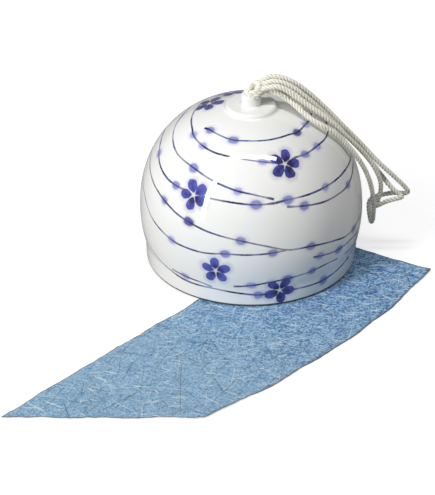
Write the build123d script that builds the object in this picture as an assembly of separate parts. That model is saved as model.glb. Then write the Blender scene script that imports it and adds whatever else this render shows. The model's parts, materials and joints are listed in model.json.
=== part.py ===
from build123d import *
import math
import os

# A porcelain wind bell standing mouth down on its paper strip. Lengths are in millimetres.
# The origin is the centre of the bell's standing rim, +Z is up, -Y is the side shown to the viewer.
# The long edge of the strip lies under the bell's right-front half, and the cord loops hang over
# the bell's right shoulder.

# Bell: a shell turned about Z, with a low boss and a short neck on its crown
rim_outer_radius = 33.2
rim_wall = 2.6
rim_round = 0.5
skirt_height = 6.3
skirt_flare = 0.3
belly_radius = 35.0
belly_height = 17.2
belly_wall = 2.7
dome_height = 52.3
crown_wall = 3.2
dome_power = 2.19  # a superellipse, a little fuller than an ellipse
dome_steps = 12  # points along each dome curve
boss_radius = 8.0
boss_rise = 0.7  # the boss stands this far over the dome's own top
boss_round = 0.7
boss_root_round = 0.5
neck_radius = 3.15
neck_height = 3.5
neck_round = 0.8
neck_root_round = 0.4
bore_radius = 1.2
bore_round = 0.3

# Twisted cotton cord of the loops, the crown and the clapper
cord_diameter = 1.6
run_share = 0.45  # an arc takes this share of the shorter run beside its corner

# Knot on the neck
crown_knot_radius = 3.1
crown_knot_height = 4.8
crown_knot_shift = 0.3
knot_round_share = 0.44  # edge rounding of every knot, as a share of its height

# Stopper knot under the crown, with a round seat for the top of the clapper's cord
stopper_radius = 2.7
stopper_height = 3.6
stopper_gap = 0.15
seat_clearance = 0.3
pivot_drop = 0.4  # the clapper's cord bends this far under the stopper

# Clapper: a porcelain bead bored for its cord, on a knot
bead_radius = 9.0
bead_height = 14.0
bead_bottom = 7.5
bead_bore_radius = 1.2
bead_bore_round = 0.4
clapper_knot_radius = 2.0
clapper_knot_height = 3.0
clapper_knot_gap = 0.1

# Paper strip under the rim. Along and across are measured in the strip's own directions.
strip_angle = 48.6  # degrees from +X
strip_length = 136.4
strip_width = 47.0
strip_thickness = 0.2
strip_rim_gap = 0.05
tie_hole_radius = 1.5
tie_hole_inset = 11.0  # along the strip, from the far left corner
tie_hole_across = 19.0  # across the strip, from the left edge
tie_bearing = -22.3  # degrees from +X, the side of the bell that the tie is on
tie_rim_gap = 1.3  # between the knot of the tie and the inside of the rim

# The strip's right edge bulges a little, and its near end is cut aslant. Each point is a share of
# the strip's length, back from the far left corner, and of its width.
strip_right_shares = ((-0.061, 0.923), (0.136, 1.015), (0.343, 1.040), (0.534, 1.015), (0.719, 0.926))

# Thin cord from the clapper's knot to the strip
strip_cord_diameter = 1.0
strip_cord_gap = 0.3
strip_knot_radius = 1.8
strip_knot_height = 2.2
strip_knot_gap = 0.1
tie_radius = 0.8

# Routes of the free cords over a bell of this belly radius. Each point is to the right, away from
# the viewer, and up from the dome under it, or from the belly's height beyond the dome.
route_radius = 35.0
outer_loop_route = (
    (1.5, 0.6, 5.7), (3.3, 1.2, 8.6), (7.0, 1.8, 9.9), (12.3, 2.0, 9.4), (17.5, 2.2, 8.0),
    (23.5, 2.2, 6.4), (29.4, 1.6, 5.9), (34.8, 1.0, 16.8), (39.9, 0.8, 15.5), (44.9, 1.0, 10.3),
    (47.9, 1.0, 6.3), (49.9, 1.6, 3.2), (48.0, 2.9, 1.0), (45.1, 3.4, 2.1), (41.2, 3.2, 1.1),
    (38.0, 2.8, 0.6), (36.3, 2.2, -1.3), (36.6, 1.8, -4.5), (37.1, 1.4, -7.8), (38.2, -1.2, -7.6),
    (38.8, -1.7, -4.2), (38.4, -1.9, 1.6), (36.9, -2.0, 7.3), (35.1, -2.4, 13.3),
    (32.1, -3.3, 3.9), (28.7, -3.6, 3.0), (25.5, -4.6, 3.2), (20.8, -5.2, 2.4),
    (16.5, -3.6, 1.9), (12.6, -1.6, 3.8), (7.9, -0.2, 5.3), (2.2, 1.0, 6.1),
)
inner_loop_route = (
    (1.6, -0.2, 5.7), (3.9, 0.0, 7.7), (7.6, 0.3, 8.9), (11.9, 0.1, 8.3), (16.9, 0.0, 6.0),
    (21.9, 0.0, 3.9), (26.9, 0.2, 3.3), (32.0, 1.6, 5.4), (36.6, 2.8, 15.6), (40.8, 2.5, 10.7),
    (43.4, 1.4, 7.5), (45.7, 0.8, 4.8), (47.6, 1.0, 2.8), (47.2, -1.3, 1.7), (44.6, -1.5, 1.8),
    (41.9, -1.5, 0.6), (39.8, -1.4, -1.6), (39.3, 1.3, -1.2), (40.2, 1.1, 1.7), (40.9, 0.6, 4.5),
    (40.6, 0.2, 8.0), (39.2, -0.2, 12.1), (36.4, -0.4, 17.0), (32.6, -1.0, 7.2),
    (28.1, -1.8, 4.2), (22.8, -2.2, 3.9), (17.5, -1.9, 3.9), (13.5, -1.7, 5.7),
    (10.1, -1.6, 7.8), (7.0, -1.6, 8.4), (2.4, -1.4, 6.4),
)
tail_route = ((2.4, 0.3, 5.1), (7.4, 1.5, 3.6), (11.4, 1.7, 2.5), (15.7, 0.4, 2.3), (20.0, -0.6, 2.1))

# The strip's cord lies inside the bell, from under the clapper's knot to the tie. Heights are over
# the rim's plane, and the last point is measured from the tie.
strip_cord_route = (
    (-1.2, 0.8, 2.0), (-4.3, 2.2, 0.6), (-7.2, -0.8, 0.55), (-7.4, -5.8, 0.5), (-3.2, -9.6, 0.6),
    (3.2, -9.8, 0.5), (9.4, -6.6, 0.6), (15.4, -4.8, 0.5), (21.0, -6.4, 0.6),
)
strip_cord_end = (-0.44, 0.44, 1.0)


def dome_points(radius, base, top):
    """Points of a superellipse from (radius, base) up to (0, top)."""
    points = []
    for step in range(dome_steps + 1):
        angle = math.pi / 2 * step / dome_steps
        across = radius * math.cos(angle) ** (2 / dome_power)
        up = (top - base) * math.sin(angle) ** (2 / dome_power)
        points.append((across, base + up))
    return points


def dome_at(radius, base, top, across):
    """Height of the same superellipse at a distance from the axis."""
    return base + (top - base) * (1 - (across / radius) ** dome_power) ** (1 / dome_power)


def over_dome(route):
    """A route's points, each set over the dome, so that the cords keep to the bell."""
    stretch = belly_radius / route_radius
    points = []
    for x, y, rise in route:
        out = math.hypot(x, y) * stretch
        inside = out < belly_radius
        ground = dome_at(belly_radius, belly_height, dome_height, out) if inside else belly_height
        points.append((x * stretch, y * stretch, ground + rise))
    return points


def dome_edge(radius, base, top, inner):
    """The dome curve as one spline, from (radius, base) in to the distance inner from the axis."""
    points = [p for p in dome_points(radius, base, top) if p[0] > inner * 1.2]
    points.append((inner, dome_at(radius, base, top, inner)))
    return Spline(*points)


def quarter(start, end, centre):
    """A round corner between two points at the same distance from its centre."""
    middle = Vector(*start) + Vector(*end) - Vector(*centre) * 2
    reach = (Vector(*start) - Vector(*centre)).length
    return ThreePointArc(start, Vector(*centre) + middle.normalized() * reach, end)


def belly_arc(foot_radius, foot, wide_radius, wide):
    """The arc from the top of the skirt to the widest place, upright where it arrives."""
    rise, out = wide - foot, wide_radius - foot_radius
    arc_radius = (rise**2 + out**2) / (2 * out)
    centre = (wide_radius - arc_radius, wide)
    half = math.asin(rise / arc_radius) / 2
    middle = (centre[0] + arc_radius * math.cos(half), centre[1] - arc_radius * math.sin(half))
    return ThreePointArc((foot_radius, foot), middle, (wide_radius, wide))


def make_bell(boss_top, neck_top):
    """The shell with its boss, neck and bore, turned in one piece."""
    rim_inner = rim_outer_radius - rim_wall
    skirt_outer = rim_outer_radius + skirt_flare
    skirt_inner = rim_inner + skirt_flare
    belly_inner = belly_radius - belly_wall
    cavity_top = dome_height - crown_wall
    root = boss_radius + boss_root_round
    dome_foot = dome_at(belly_radius, belly_height, dome_height, root)
    boss_foot = dome_foot + boss_root_round
    shoulder = boss_top - boss_round
    flat_outer = boss_radius - boss_round
    flat_inner = neck_radius + neck_root_round
    neck_foot = boss_top + neck_root_round
    neck_edge = neck_top - neck_round
    mouth_edge = neck_top - bore_round
    mouth_radius = bore_radius + bore_round
    crown_inner = dome_at(belly_inner, belly_height, cavity_top, bore_radius)
    outline = [
        Line((rim_inner + rim_round, 0), (rim_outer_radius - rim_round, 0)),
        quarter((rim_outer_radius - rim_round, 0), (rim_outer_radius, rim_round),
                (rim_outer_radius - rim_round, rim_round)),
        Line((rim_outer_radius, rim_round), (skirt_outer, skirt_height)),
        belly_arc(skirt_outer, skirt_height, belly_radius, belly_height),
        dome_edge(belly_radius, belly_height, dome_height, root),
        quarter((root, dome_foot), (boss_radius, boss_foot), (root, boss_foot)),
        Line((boss_radius, boss_foot), (boss_radius, shoulder)),
        quarter((boss_radius, shoulder), (flat_outer, boss_top), (flat_outer, shoulder)),
        Line((flat_outer, boss_top), (flat_inner, boss_top)),
        quarter((flat_inner, boss_top), (neck_radius, neck_foot), (flat_inner, neck_foot)),
        Line((neck_radius, neck_foot), (neck_radius, neck_edge)),
        quarter((neck_radius, neck_edge), (neck_radius - neck_round, neck_top),
                (neck_radius - neck_round, neck_edge)),
        Line((neck_radius - neck_round, neck_top), (mouth_radius, neck_top)),
        quarter((mouth_radius, neck_top), (bore_radius, mouth_edge), (mouth_radius, mouth_edge)),
        Line((bore_radius, mouth_edge), (bore_radius, crown_inner)),
        dome_edge(belly_inner, belly_height, cavity_top, bore_radius),
        belly_arc(skirt_inner, skirt_height, belly_inner, belly_height),
        Line((skirt_inner, skirt_height), (rim_inner, rim_round)),
        quarter((rim_inner, rim_round), (rim_inner + rim_round, 0), (rim_inner + rim_round, rim_round)),
    ]
    section = make_face(Wire(outline))
    return revolve(Plane.XZ * section, Axis.Z)


def knot(radius, height, centre_x, centre_y, bottom):
    """A rounded barrel standing at a height, the plain form of a knot."""
    body = Pos(centre_x, centre_y, bottom + height / 2) * Cylinder(radius, height)
    return fillet(body.edges(), knot_round_share * height)


def cord_tube(name, route, diameter):
    """A round tube along straight runs joined by arcs; prints its arc radii, length and volume."""
    points = [Vector(*p) for p in route]
    radii = []
    for before, corner, after in zip(points, points[1:], points[2:]):
        turn = (corner - before).get_angle(after - corner)
        shorter = min((corner - before).length, (after - corner).length)
        radii.append(run_share * shorter / math.tan(math.radians(turn) / 2))
    path = FilletPolyline(*points, radius=radii)
    start = Plane(origin=path @ 0, z_dir=path % 0)
    tube = sweep(start * Circle(diameter / 2), path=path)
    expected = math.pi * diameter**2 / 4 * path.length
    print(name, "radii", [round(r, 1) for r in radii])
    print(name, "length", round(path.length, 1), "volume share", round(tube.volume / expected, 4))
    return tube


def make_stopper():
    """The knot that carries the bell, with the seat that the clapper's cord swings in."""
    cavity_top = dome_height - crown_wall
    bottom = cavity_top - stopper_gap - stopper_height
    body = knot(stopper_radius, stopper_height, 0, 0, bottom)
    seat = Pos(0, 0, bottom - pivot_drop) * Sphere(cord_diameter / 2 + seat_clearance)
    return body - seat, bottom


def make_clapper_cord(pivot, bottom):
    """The cord through the bead, with a round top at the pivot."""
    length = pivot - bottom
    straight = Pos(0, 0, bottom + length / 2) * Cylinder(cord_diameter / 2, length)
    return straight + Pos(0, 0, pivot) * Sphere(cord_diameter / 2)


def make_bead():
    """A ball cut flat at both ends and bored."""
    middle = bead_bottom + bead_height / 2
    ball = Pos(0, 0, middle) * Sphere(bead_radius)
    slab = Pos(0, 0, middle) * Cylinder(bead_radius, bead_height)
    bead = (ball & slab) - Pos(0, 0, middle) * Cylinder(bead_bore_radius, bead_height)
    mouths = bead.edges().filter_by(GeomType.CIRCLE)
    mouths = [e for e in mouths if abs(e.radius - bead_bore_radius) < bead_bore_round / 2]
    return fillet(mouths, bead_bore_round)


def tie_place():
    """Where the strip's cord is tied, just inside the rim."""
    out = rim_outer_radius - rim_wall - tie_rim_gap - strip_knot_radius
    bearing = math.radians(tie_bearing)
    return out * math.cos(bearing), out * math.sin(bearing)


def strip_place(tie, along, across):
    """A place on the strip: along is back from the far left corner, across is from the left edge."""
    angle = math.radians(strip_angle)
    t, n = tie_hole_inset - along, across - tie_hole_across
    x = tie[0] + t * math.cos(angle) + n * math.sin(angle)
    return x, tie[1] + t * math.sin(angle) - n * math.cos(angle)


def make_strip(tie):
    """The paper strip, one flat sheet with its tie hole."""
    bulge = [strip_place(tie, a * strip_length, n * strip_width) for a, n in strip_right_shares]
    far_left = strip_place(tie, 0, 0)
    near_left = strip_place(tie, strip_length, 0)
    outline = [Line(far_left, bulge[0]), Spline(*bulge), Line(bulge[-1], near_left), Line(near_left, far_left)]
    sheet = extrude(make_face(Wire(outline)), strip_thickness)
    hole = Pos(*tie, strip_thickness / 2) * Cylinder(tie_hole_radius, strip_thickness)
    return Pos(0, 0, -strip_rim_gap - strip_thickness) * (sheet - hole)


def make_strip_knot(tie):
    """The knot on the strip, with the turn of cord that goes down into the tie hole."""
    bottom = strip_knot_gap - strip_rim_gap
    body = knot(strip_knot_radius, strip_knot_height, *tie, bottom)
    depth = strip_knot_gap + strip_thickness + strip_knot_height / 2
    peg = Pos(*tie, bottom + strip_knot_height / 2 - depth / 2) * Cylinder(tie_radius, depth)
    return body + peg


def make_parts():
    """Every piece of the bell by its node name."""
    boss_top = dome_height + boss_rise
    neck_top = boss_top + neck_height
    stopper, stopper_bottom = make_stopper()
    pivot = stopper_bottom - pivot_drop
    clapper_knot_top = bead_bottom - clapper_knot_gap
    clapper_knot_bottom = clapper_knot_top - clapper_knot_height
    tie = tie_place()
    crown_cord_top = neck_top + crown_knot_height / 2
    crown_cord_bottom = stopper_bottom + stopper_height / 2
    crown_cord_length = crown_cord_top - crown_cord_bottom
    strip_top = (0, 0, clapper_knot_bottom - strip_cord_gap)
    strip_end = (tie[0] + strip_cord_end[0], tie[1] + strip_cord_end[1], strip_cord_end[2])
    strip_cord_points = (strip_top,) + strip_cord_route + (strip_end,)
    return {
        "porcelain_bell": make_bell(boss_top, neck_top),
        "crown_knot": knot(crown_knot_radius, crown_knot_height, crown_knot_shift, 0, neck_top),
        "hanging_loop_outer": cord_tube("outer loop", over_dome(outer_loop_route), cord_diameter),
        "hanging_loop_inner": cord_tube("inner loop", over_dome(inner_loop_route), cord_diameter),
        "cord_tail": cord_tube("tail", over_dome(tail_route), cord_diameter),
        "crown_cord": Pos(0, 0, crown_cord_bottom + crown_cord_length / 2)
        * Cylinder(cord_diameter / 2, crown_cord_length),
        "stopper_knot": stopper,
        "clapper_cord": make_clapper_cord(pivot, clapper_knot_bottom + clapper_knot_height / 2),
        "clapper_bead": make_bead(),
        "clapper_knot": knot(clapper_knot_radius, clapper_knot_height, 0, 0, clapper_knot_bottom),
        "strip_cord": cord_tube("strip cord", strip_cord_points, strip_cord_diameter),
        "strip_knot": make_strip_knot(tie),
        "paper_strip": make_strip(tie),
    }


os.makedirs("parts", exist_ok=True)
for node, solid in make_parts().items():
    export_step(solid, f"parts/{node}.step")
    box = solid.bounding_box()
    print(node, "from", [round(v, 2) for v in box.min], "to", [round(v, 2) for v in box.max])
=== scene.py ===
"""A painted porcelain wind bell that stands mouth down on its paper strip.

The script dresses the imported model: the bell is turned again with its painting, every cord and knot
is laid up from twisted yarn, and the strip becomes a sheet of fibrous paper. Sizes are written in
millimetres, as the part's own are, and multiplied by MM where they meet the scene.
"""

import json
import logging
import math
from dataclasses import dataclass, field
from enum import Enum
from functools import reduce
from typing import Dict, List, Sequence, Tuple, Union

import bmesh
import bpy
import numpy as np
from mathutils import Matrix, Vector, kdtree, noise

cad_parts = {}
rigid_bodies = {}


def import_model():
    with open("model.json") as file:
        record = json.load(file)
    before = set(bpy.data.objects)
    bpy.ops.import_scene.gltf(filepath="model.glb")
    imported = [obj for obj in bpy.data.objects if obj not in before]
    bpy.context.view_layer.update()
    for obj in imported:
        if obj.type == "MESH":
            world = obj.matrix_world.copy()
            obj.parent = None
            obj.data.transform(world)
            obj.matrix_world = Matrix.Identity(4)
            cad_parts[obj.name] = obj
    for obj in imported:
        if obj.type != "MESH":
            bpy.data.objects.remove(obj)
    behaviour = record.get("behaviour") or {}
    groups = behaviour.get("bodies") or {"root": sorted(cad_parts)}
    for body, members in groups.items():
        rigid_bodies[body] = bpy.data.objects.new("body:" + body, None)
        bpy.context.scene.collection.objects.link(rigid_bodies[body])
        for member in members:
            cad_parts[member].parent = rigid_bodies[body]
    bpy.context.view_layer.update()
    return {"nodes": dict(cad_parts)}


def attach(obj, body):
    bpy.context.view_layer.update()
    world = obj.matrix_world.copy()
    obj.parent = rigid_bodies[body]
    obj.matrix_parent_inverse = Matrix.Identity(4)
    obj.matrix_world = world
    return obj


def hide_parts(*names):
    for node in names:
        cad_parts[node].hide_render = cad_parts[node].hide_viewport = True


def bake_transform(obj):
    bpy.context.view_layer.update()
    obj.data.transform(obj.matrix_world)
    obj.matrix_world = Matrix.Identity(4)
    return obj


log = logging.getLogger("wind_bell")

MM = 0.001
Point = Tuple[float, float, float]
Colour = Tuple[float, float, float]
Place = Tuple[float, float]


# ---------------------------------------------------------------- shader expressions


class Tone:
    """A shader socket that takes part in Python expressions, which add Math nodes."""

    def __init__(self, nodes: "Nodes", socket: bpy.types.NodeSocket) -> None:
        """Wraps one output socket of a tree."""
        self.nodes = nodes
        self.socket = socket

    def __add__(self, other: "Amount") -> "Tone":
        """Sum, in either order."""
        return self.nodes.math("ADD", self, other)

    def __mul__(self, other: "Amount") -> "Tone":
        """Product, in either order."""
        return self.nodes.math("MULTIPLY", self, other)

    def __sub__(self, other: "Amount") -> "Tone":
        """Difference."""
        return self.nodes.math("SUBTRACT", self, other)

    def __rsub__(self, other: "Amount") -> "Tone":
        """Difference with a number on the left."""
        return self.nodes.math("SUBTRACT", other, self)

    def __truediv__(self, other: "Amount") -> "Tone":
        """Quotient."""
        return self.nodes.math("DIVIDE", self, other)

    def __abs__(self) -> "Tone":
        """Size without sign."""
        return self.nodes.math("ABSOLUTE", self)

    __radd__ = __add__
    __rmul__ = __mul__


Amount = Union[Tone, float]
Shade = Union[Tone, Colour]
Inputs = Dict[Union[str, int], object]


def dimmed(colour: Colour, share: float) -> Colour:
    """A colour with only a share of its light."""
    return tuple(channel * share for channel in colour)


class Nodes:
    """A shader tree and the nodes that are added to it."""

    def __init__(self, tree: bpy.types.NodeTree) -> None:
        """Empties the tree."""
        self.tree = tree
        tree.nodes.clear()

    def add(self, kind: str, inputs: Inputs, **settings: object) -> bpy.types.Node:
        """Adds one node.

        Args:
            kind: the node's type without its ShaderNode prefix.
            inputs: values or Tones by socket name or number.
            settings: the node's own properties, which are set first.

        Returns:
            The new node.
        """
        node = self.tree.nodes.new("ShaderNode" + kind)
        for key, value in settings.items():
            setattr(node, key, value)
        for key, value in inputs.items():
            self.set(node.inputs[key], value)
        return node

    def set(self, socket: bpy.types.NodeSocket, value: object) -> None:
        """Links a Tone to a socket, or sets its value.

        Args:
            socket: the input socket.
            value: a Tone, or what the socket takes.
        """
        if isinstance(value, Tone):
            self.tree.links.new(value.socket, socket)
        else:
            socket.default_value = value

    def tone(self, kind: str, inputs: Inputs, output: Union[str, int] = 0, **settings: object) -> Tone:
        """One output of a new node."""
        return Tone(self, self.add(kind, inputs, **settings).outputs[output])

    def math(self, operation: str, first: Amount, second: Amount = 0.0) -> Tone:
        """One Math node."""
        return self.tone("Math", {0: first, 1: second}, operation=operation)

    def soft_step(self, value: Amount, low: float, high: float) -> Tone:
        """0 below low, 1 above high, smooth between."""
        inputs = {0: value, 1: low, 2: high, 3: 0.0, 4: 1.0}
        return self.tone("MapRange", inputs, interpolation_type="SMOOTHSTEP")

    def soft_drop(self, value: Amount, low: float, high: float) -> Tone:
        """1 below low, 0 above high, smooth between."""
        return 1.0 - self.soft_step(value, low, high)

    def most(self, *tones: Amount) -> Tone:
        """The greatest of some values."""
        return reduce(lambda first, second: self.math("MAXIMUM", first, second), tones)

    def length(self, across: Tone, up: Tone) -> Tone:
        """How long the vector with these two parts is."""
        return self.math("SQRT", across * across + up * up)

    def mixed(self, share: Amount, first: Shade, second: Shade) -> Tone:
        """A colour between two others."""
        ends = [colour if isinstance(colour, Tone) else (*colour, 1.0) for colour in (first, second)]
        return self.tone("Mix", {0: share, 6: ends[0], 7: ends[1]}, 2, data_type="RGBA")

    def seen(self) -> Tone:
        """1 for rays that the camera sends, straight or through glass."""
        rays = self.add("LightPath", {}).outputs
        return self.most(Tone(self, rays["Is Camera Ray"]), Tone(self, rays["Is Transmission Ray"]))

    def place(self) -> Tone:
        """Object coordinates in metres."""
        return self.tone("TexCoord", {}, "Object")

    def along_yarn(self) -> Tone:
        """The piece's own map: across is around the yarn, up is millimetres along it."""
        return self.tone("UVMap", {}, uv_map="UVMap")

    def turned(self, vector: Tone, scale: Point, turn_degrees: float = 0.0) -> Tone:
        """Coordinates scaled and turned about Z."""
        inputs = {0: vector, 2: (0.0, 0.0, math.radians(turn_degrees)), 3: scale}
        return self.tone("Mapping", inputs, vector_type="TEXTURE")

    def moved(self, vector: Tone, shift: Point) -> Tone:
        """Coordinates moved by a vector."""
        return self.tone("VectorMath", {0: vector, 1: shift}, operation="ADD")

    def grain(self, vector: Tone, scale: float, detail: float = 2.0, rough: float = 0.5,
              warp: float = 0.0) -> Tone:
        """Noise, about 0.5 on average."""
        inputs = {"Vector": vector, "Scale": scale, "Detail": detail, "Roughness": rough, "Distortion": warp}
        return self.tone("TexNoise", inputs)

    def patches(self, vector: Tone, scale: float, detail: float, low: float, high: float) -> Tone:
        """Noise with its contrast raised: 0 below low, 1 above high."""
        return self.soft_step(self.grain(vector, scale, detail), low, high)

    def parts_of(self, vector: Tone) -> List[Tone]:
        """The three numbers of a vector."""
        return [Tone(self, socket) for socket in self.add("SeparateXYZ", {0: vector}).outputs]

    def stored(self, name: str, output: str = "Vector") -> Tone:
        """A value that the mesh stores at its points."""
        return self.tone("Attribute", {}, output, attribute_name=name)


class Recipe(Nodes):
    """One finish as a material: a principled shader and the nodes that feed it."""

    def __init__(self, name: str) -> None:
        """Starts a material with its shader and output.

        Args:
            name: the material's name.
        """
        self.material = bpy.data.materials.new(name)
        self.material.use_nodes = True
        super().__init__(self.material.node_tree)
        self.shader = self.add("BsdfPrincipled", {})
        self.add("OutputMaterial", {"Surface": Tone(self, self.shader.outputs[0])})

    def feed(self, values: Dict[str, object]) -> None:
        """Links or sets sockets of the shader by their names."""
        for name, value in values.items():
            self.set(self.shader.inputs[name], value)

    def relief(self, height: Tone, strength: float, depth_mm: float) -> None:
        """Adds a Bump node that feeds the shader's normal."""
        inputs = {"Strength": strength, "Distance": depth_mm * MM, "Height": height}
        self.feed({"Normal": self.tone("Bump", inputs)})


# ---------------------------------------------------------------- finishes


@dataclass(frozen=True)
class ClearGlaze:
    """Glossy white glaze, with bare porcelain where the rim stands."""

    white: Colour = (0.89, 0.895, 0.872)
    bare: Colour = (0.60, 0.56, 0.50)
    speck: Colour = (0.42, 0.40, 0.38)
    # near-black colour of the painted contact shadow, with a little grime, round the foot
    foot_line: Colour = (0.022, 0.021, 0.022)
    foot_line_top: float = 0.62
    foot_line_in: float = 0.60
    bare_height: float = 0.30
    gloss_roughness: float = 0.045
    bare_roughness: float = 0.75

    def colour(self, recipe: Recipe) -> Tone:
        """The plain glaze, with faint clouds and a few specks.

        Args:
            recipe: the material that it goes into.

        Returns:
            The glaze's colour.
        """
        place = recipe.place()
        cloud = recipe.patches(place, 45.0, 3.0, 0.35, 0.7)
        colour = recipe.mixed(cloud * 0.35, self.white, dimmed(self.white, 0.965))
        return recipe.mixed(recipe.patches(place, 1900.0, 1.0, 0.775, 0.8) * 0.5, colour, self.speck)

    def foot(self, recipe: Recipe) -> Tone:
        """The very foot, which has no glaze.

        Args:
            recipe: the material.

        Returns:
            1 where the porcelain is bare.
        """
        place = recipe.place()
        ragged = recipe.parts_of(place)[2] / MM + recipe.grain(place, 420.0, 3.0) * 0.28
        return recipe.soft_drop(ragged, self.bare_height, self.bare_height + 0.1)

    def foot_shadow_and_grime(self, recipe: Recipe, radius: float) -> Tone:
        """The thin dark line round the outer edge of the foot: painted contact shadow, with a little grime.

        Args:
            recipe: the material.
            radius: the foot's, in millimetres.

        Returns:
            1 on the line.
        """
        across, up, height = recipe.parts_of(recipe.place())
        low = recipe.soft_drop(height / MM, self.foot_line_top, self.foot_line_top + 0.24)
        start = radius - self.foot_line_in
        return recipe.soft_step(recipe.length(across, up) / MM, start, start + 0.20) * low

    def finish(self, recipe: Recipe, colour: Tone, bare: Amount) -> bpy.types.Material:
        """Feeds the shader with the glaze.

        Args:
            recipe: the material.
            colour: what shows under the glaze.
            bare: 1 where there is no glaze.

        Returns:
            The finished material.
        """
        place = recipe.place()
        grit = recipe.mixed(recipe.grain(place, 2600.0, 2.0), self.bare, dimmed(self.bare, 0.82))
        recipe.feed({
            "Base Color": recipe.mixed(bare * 0.75, colour, grit),
            "Roughness": self.gloss_roughness + bare * (self.bare_roughness - self.gloss_roughness),
            "Coat Weight": 0.6 - bare * 0.6,
            "Coat Roughness": 0.025,
            "IOR": 1.5,
        })
        swell = recipe.grain(place, 70.0, 2.0) + recipe.grain(place, 900.0, 1.0) * 0.03
        recipe.relief(swell, 0.30, 0.25)
        return recipe.material


@dataclass(frozen=True)
class Cobalt:
    """Underglaze cobalt: how the brush's strokes, dots and blossoms are coloured."""

    deep: Colour = (0.003, 0.002, 0.060)
    middle: Colour = (0.062, 0.062, 0.42)
    wash: Colour = (0.19, 0.22, 0.78)
    line_dark: Colour = (0.012, 0.013, 0.092)
    line_pale: Colour = (0.080, 0.094, 0.34)
    half_width: float = 0.325
    taper: float = 3.0
    petals: int = 5
    petal_out: float = 0.535
    petal_length: float = 0.45
    petal_width: float = 0.325

    @property
    def light(self) -> Colour:
        """The colour halfway between the wash and the middle one."""
        return tuple((a + b) / 2 for a, b in zip(self.wash, self.middle))

    def lines(self, recipe: Recipe, layers: int) -> Tuple[Tone, Tone]:
        """The brush lines.

        Args:
            recipe: the material.
            layers: how many sets of lines the mesh stores.

        Returns:
            How much ink lies there, and its colour.
        """
        place = recipe.place()
        load = recipe.grain(place, 110.0, 2.0)
        ragged = recipe.grain(place, 1500.0, 2.0)
        marks = []
        for layer in range(layers):
            offset, inset, far = recipe.parts_of(recipe.stored(f"line_{layer}"))
            width = self.half_width * (0.35 + load * 0.75 + ragged * 0.6)
            width = width * (1.25 - 0.35 * recipe.soft_step(inset, 0.5, self.taper))
            edge = width - abs(offset)
            mark = recipe.soft_step(edge, -0.07, 0.09) * recipe.soft_step(inset, -0.25, 0.15)
            marks.append(mark * recipe.soft_drop(far, 0.75, 1.05))
        ink = recipe.mixed(recipe.patches(place, 260.0, 3.0, 0.34, 0.60), self.line_pale, self.line_dark)
        strength = 0.70 + recipe.soft_step(load, 0.36, 0.56) * 0.30
        return recipe.most(*marks) * strength, ink

    def dots(self, recipe: Recipe, layer: int) -> Tuple[Tone, Tone]:
        """The round buds on the lines.

        Args:
            recipe: the material.
            layer: which of the mesh's sets of buds.

        Returns:
            How much ink lies there, and its colour.
        """
        across, up, tone = recipe.parts_of(recipe.stored(f"bud_{layer}"))
        far = recipe.stored(f"bud_{layer}_far", "Fac")
        wobble = (recipe.grain(recipe.place(), 420.0, 1.0) - 0.5) * 0.5
        reach = recipe.length(across, up) + wobble
        body = recipe.soft_drop(reach, 0.52, 1.12)
        rim = recipe.soft_step(reach, 0.35, 0.80) - recipe.soft_step(reach, 0.85, 1.1) * 0.5
        near = recipe.soft_drop(far, 1.4, 1.6)
        pale = recipe.mixed(rim, self.wash, self.light)
        dark = recipe.mixed(rim, self.middle, self.deep)
        haze = recipe.soft_drop(reach, 0.8, 1.55) * 0.20
        ink = recipe.mixed(tone, pale, dark)
        return recipe.most(body * (0.66 + tone * 0.3), haze) * near, ink

    def blossoms(self, recipe: Recipe) -> Tuple[Tone, Tone]:
        """The five-petalled plum blossoms, in shares of a blossom's own radius.

        Args:
            recipe: the material.

        Returns:
            How much ink lies there, and its colour.
        """
        across, up, tone = recipe.parts_of(recipe.stored("blossom"))
        far = recipe.stored("blossom_far", "Fac")
        place = recipe.place()
        reach = recipe.length(across, up)
        bearing = recipe.math("ARCTAN2", up, across)
        half_petal = math.pi / self.petals
        fold = recipe.math("PINGPONG", bearing + math.tau, half_petal)
        radial = (reach * recipe.math("COSINE", fold) - self.petal_out) / self.petal_length
        side = reach * recipe.math("SINE", fold) / (self.petal_width + radial * 0.06)
        seam = reach * recipe.math("SINE", half_petal - fold)
        wobble = (recipe.grain(place, 260.0, 2.0) - 0.5) * 0.8
        fine = (recipe.grain(place, 900.0, 2.0) - 0.5) * 0.16
        oval = recipe.length(radial, side) + wobble + fine
        petal = recipe.soft_drop(oval, 0.86, 1.07)
        heart = recipe.soft_step(reach + fine * 1.3 + wobble * 0.12, 0.06, 0.15)
        split = recipe.soft_drop(seam + fine * 0.16, 0.012, 0.050)
        split = split * recipe.soft_drop(reach, 0.22, 0.42)
        haze = recipe.soft_drop(oval, 0.85, 1.75) * 0.30
        vein = recipe.soft_drop(abs(side + wobble * 0.6), 0.10, 0.55)
        blot = 0.35 + recipe.patches(place, 250.0, 1.0, 0.36, 0.60) * 0.65
        root = recipe.soft_drop(reach + wobble * 0.4, 0.22, 0.74) * blot * (0.65 + tone * 0.4)
        edge = recipe.soft_step(oval, 0.62, 0.90) * (0.10 + tone * 0.12)
        pool = recipe.patches(place, 420.0, 2.0, 0.46, 0.64) * (0.12 + tone * 0.38)
        inner = vein * recipe.soft_drop(reach, 0.40, 0.90) * (0.30 + tone * 0.45)
        depth = recipe.most(root, inner, edge) + pool
        heart = heart * (1.0 - split * 0.48)
        body = recipe.mixed(tone, self.light, self.middle)
        ink = recipe.mixed(recipe.math("MINIMUM", depth, 1.0), body, self.deep)
        near = recipe.soft_drop(far, 1.4, 1.65)
        return recipe.most(petal * heart * 0.99, haze) * near, ink


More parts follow.
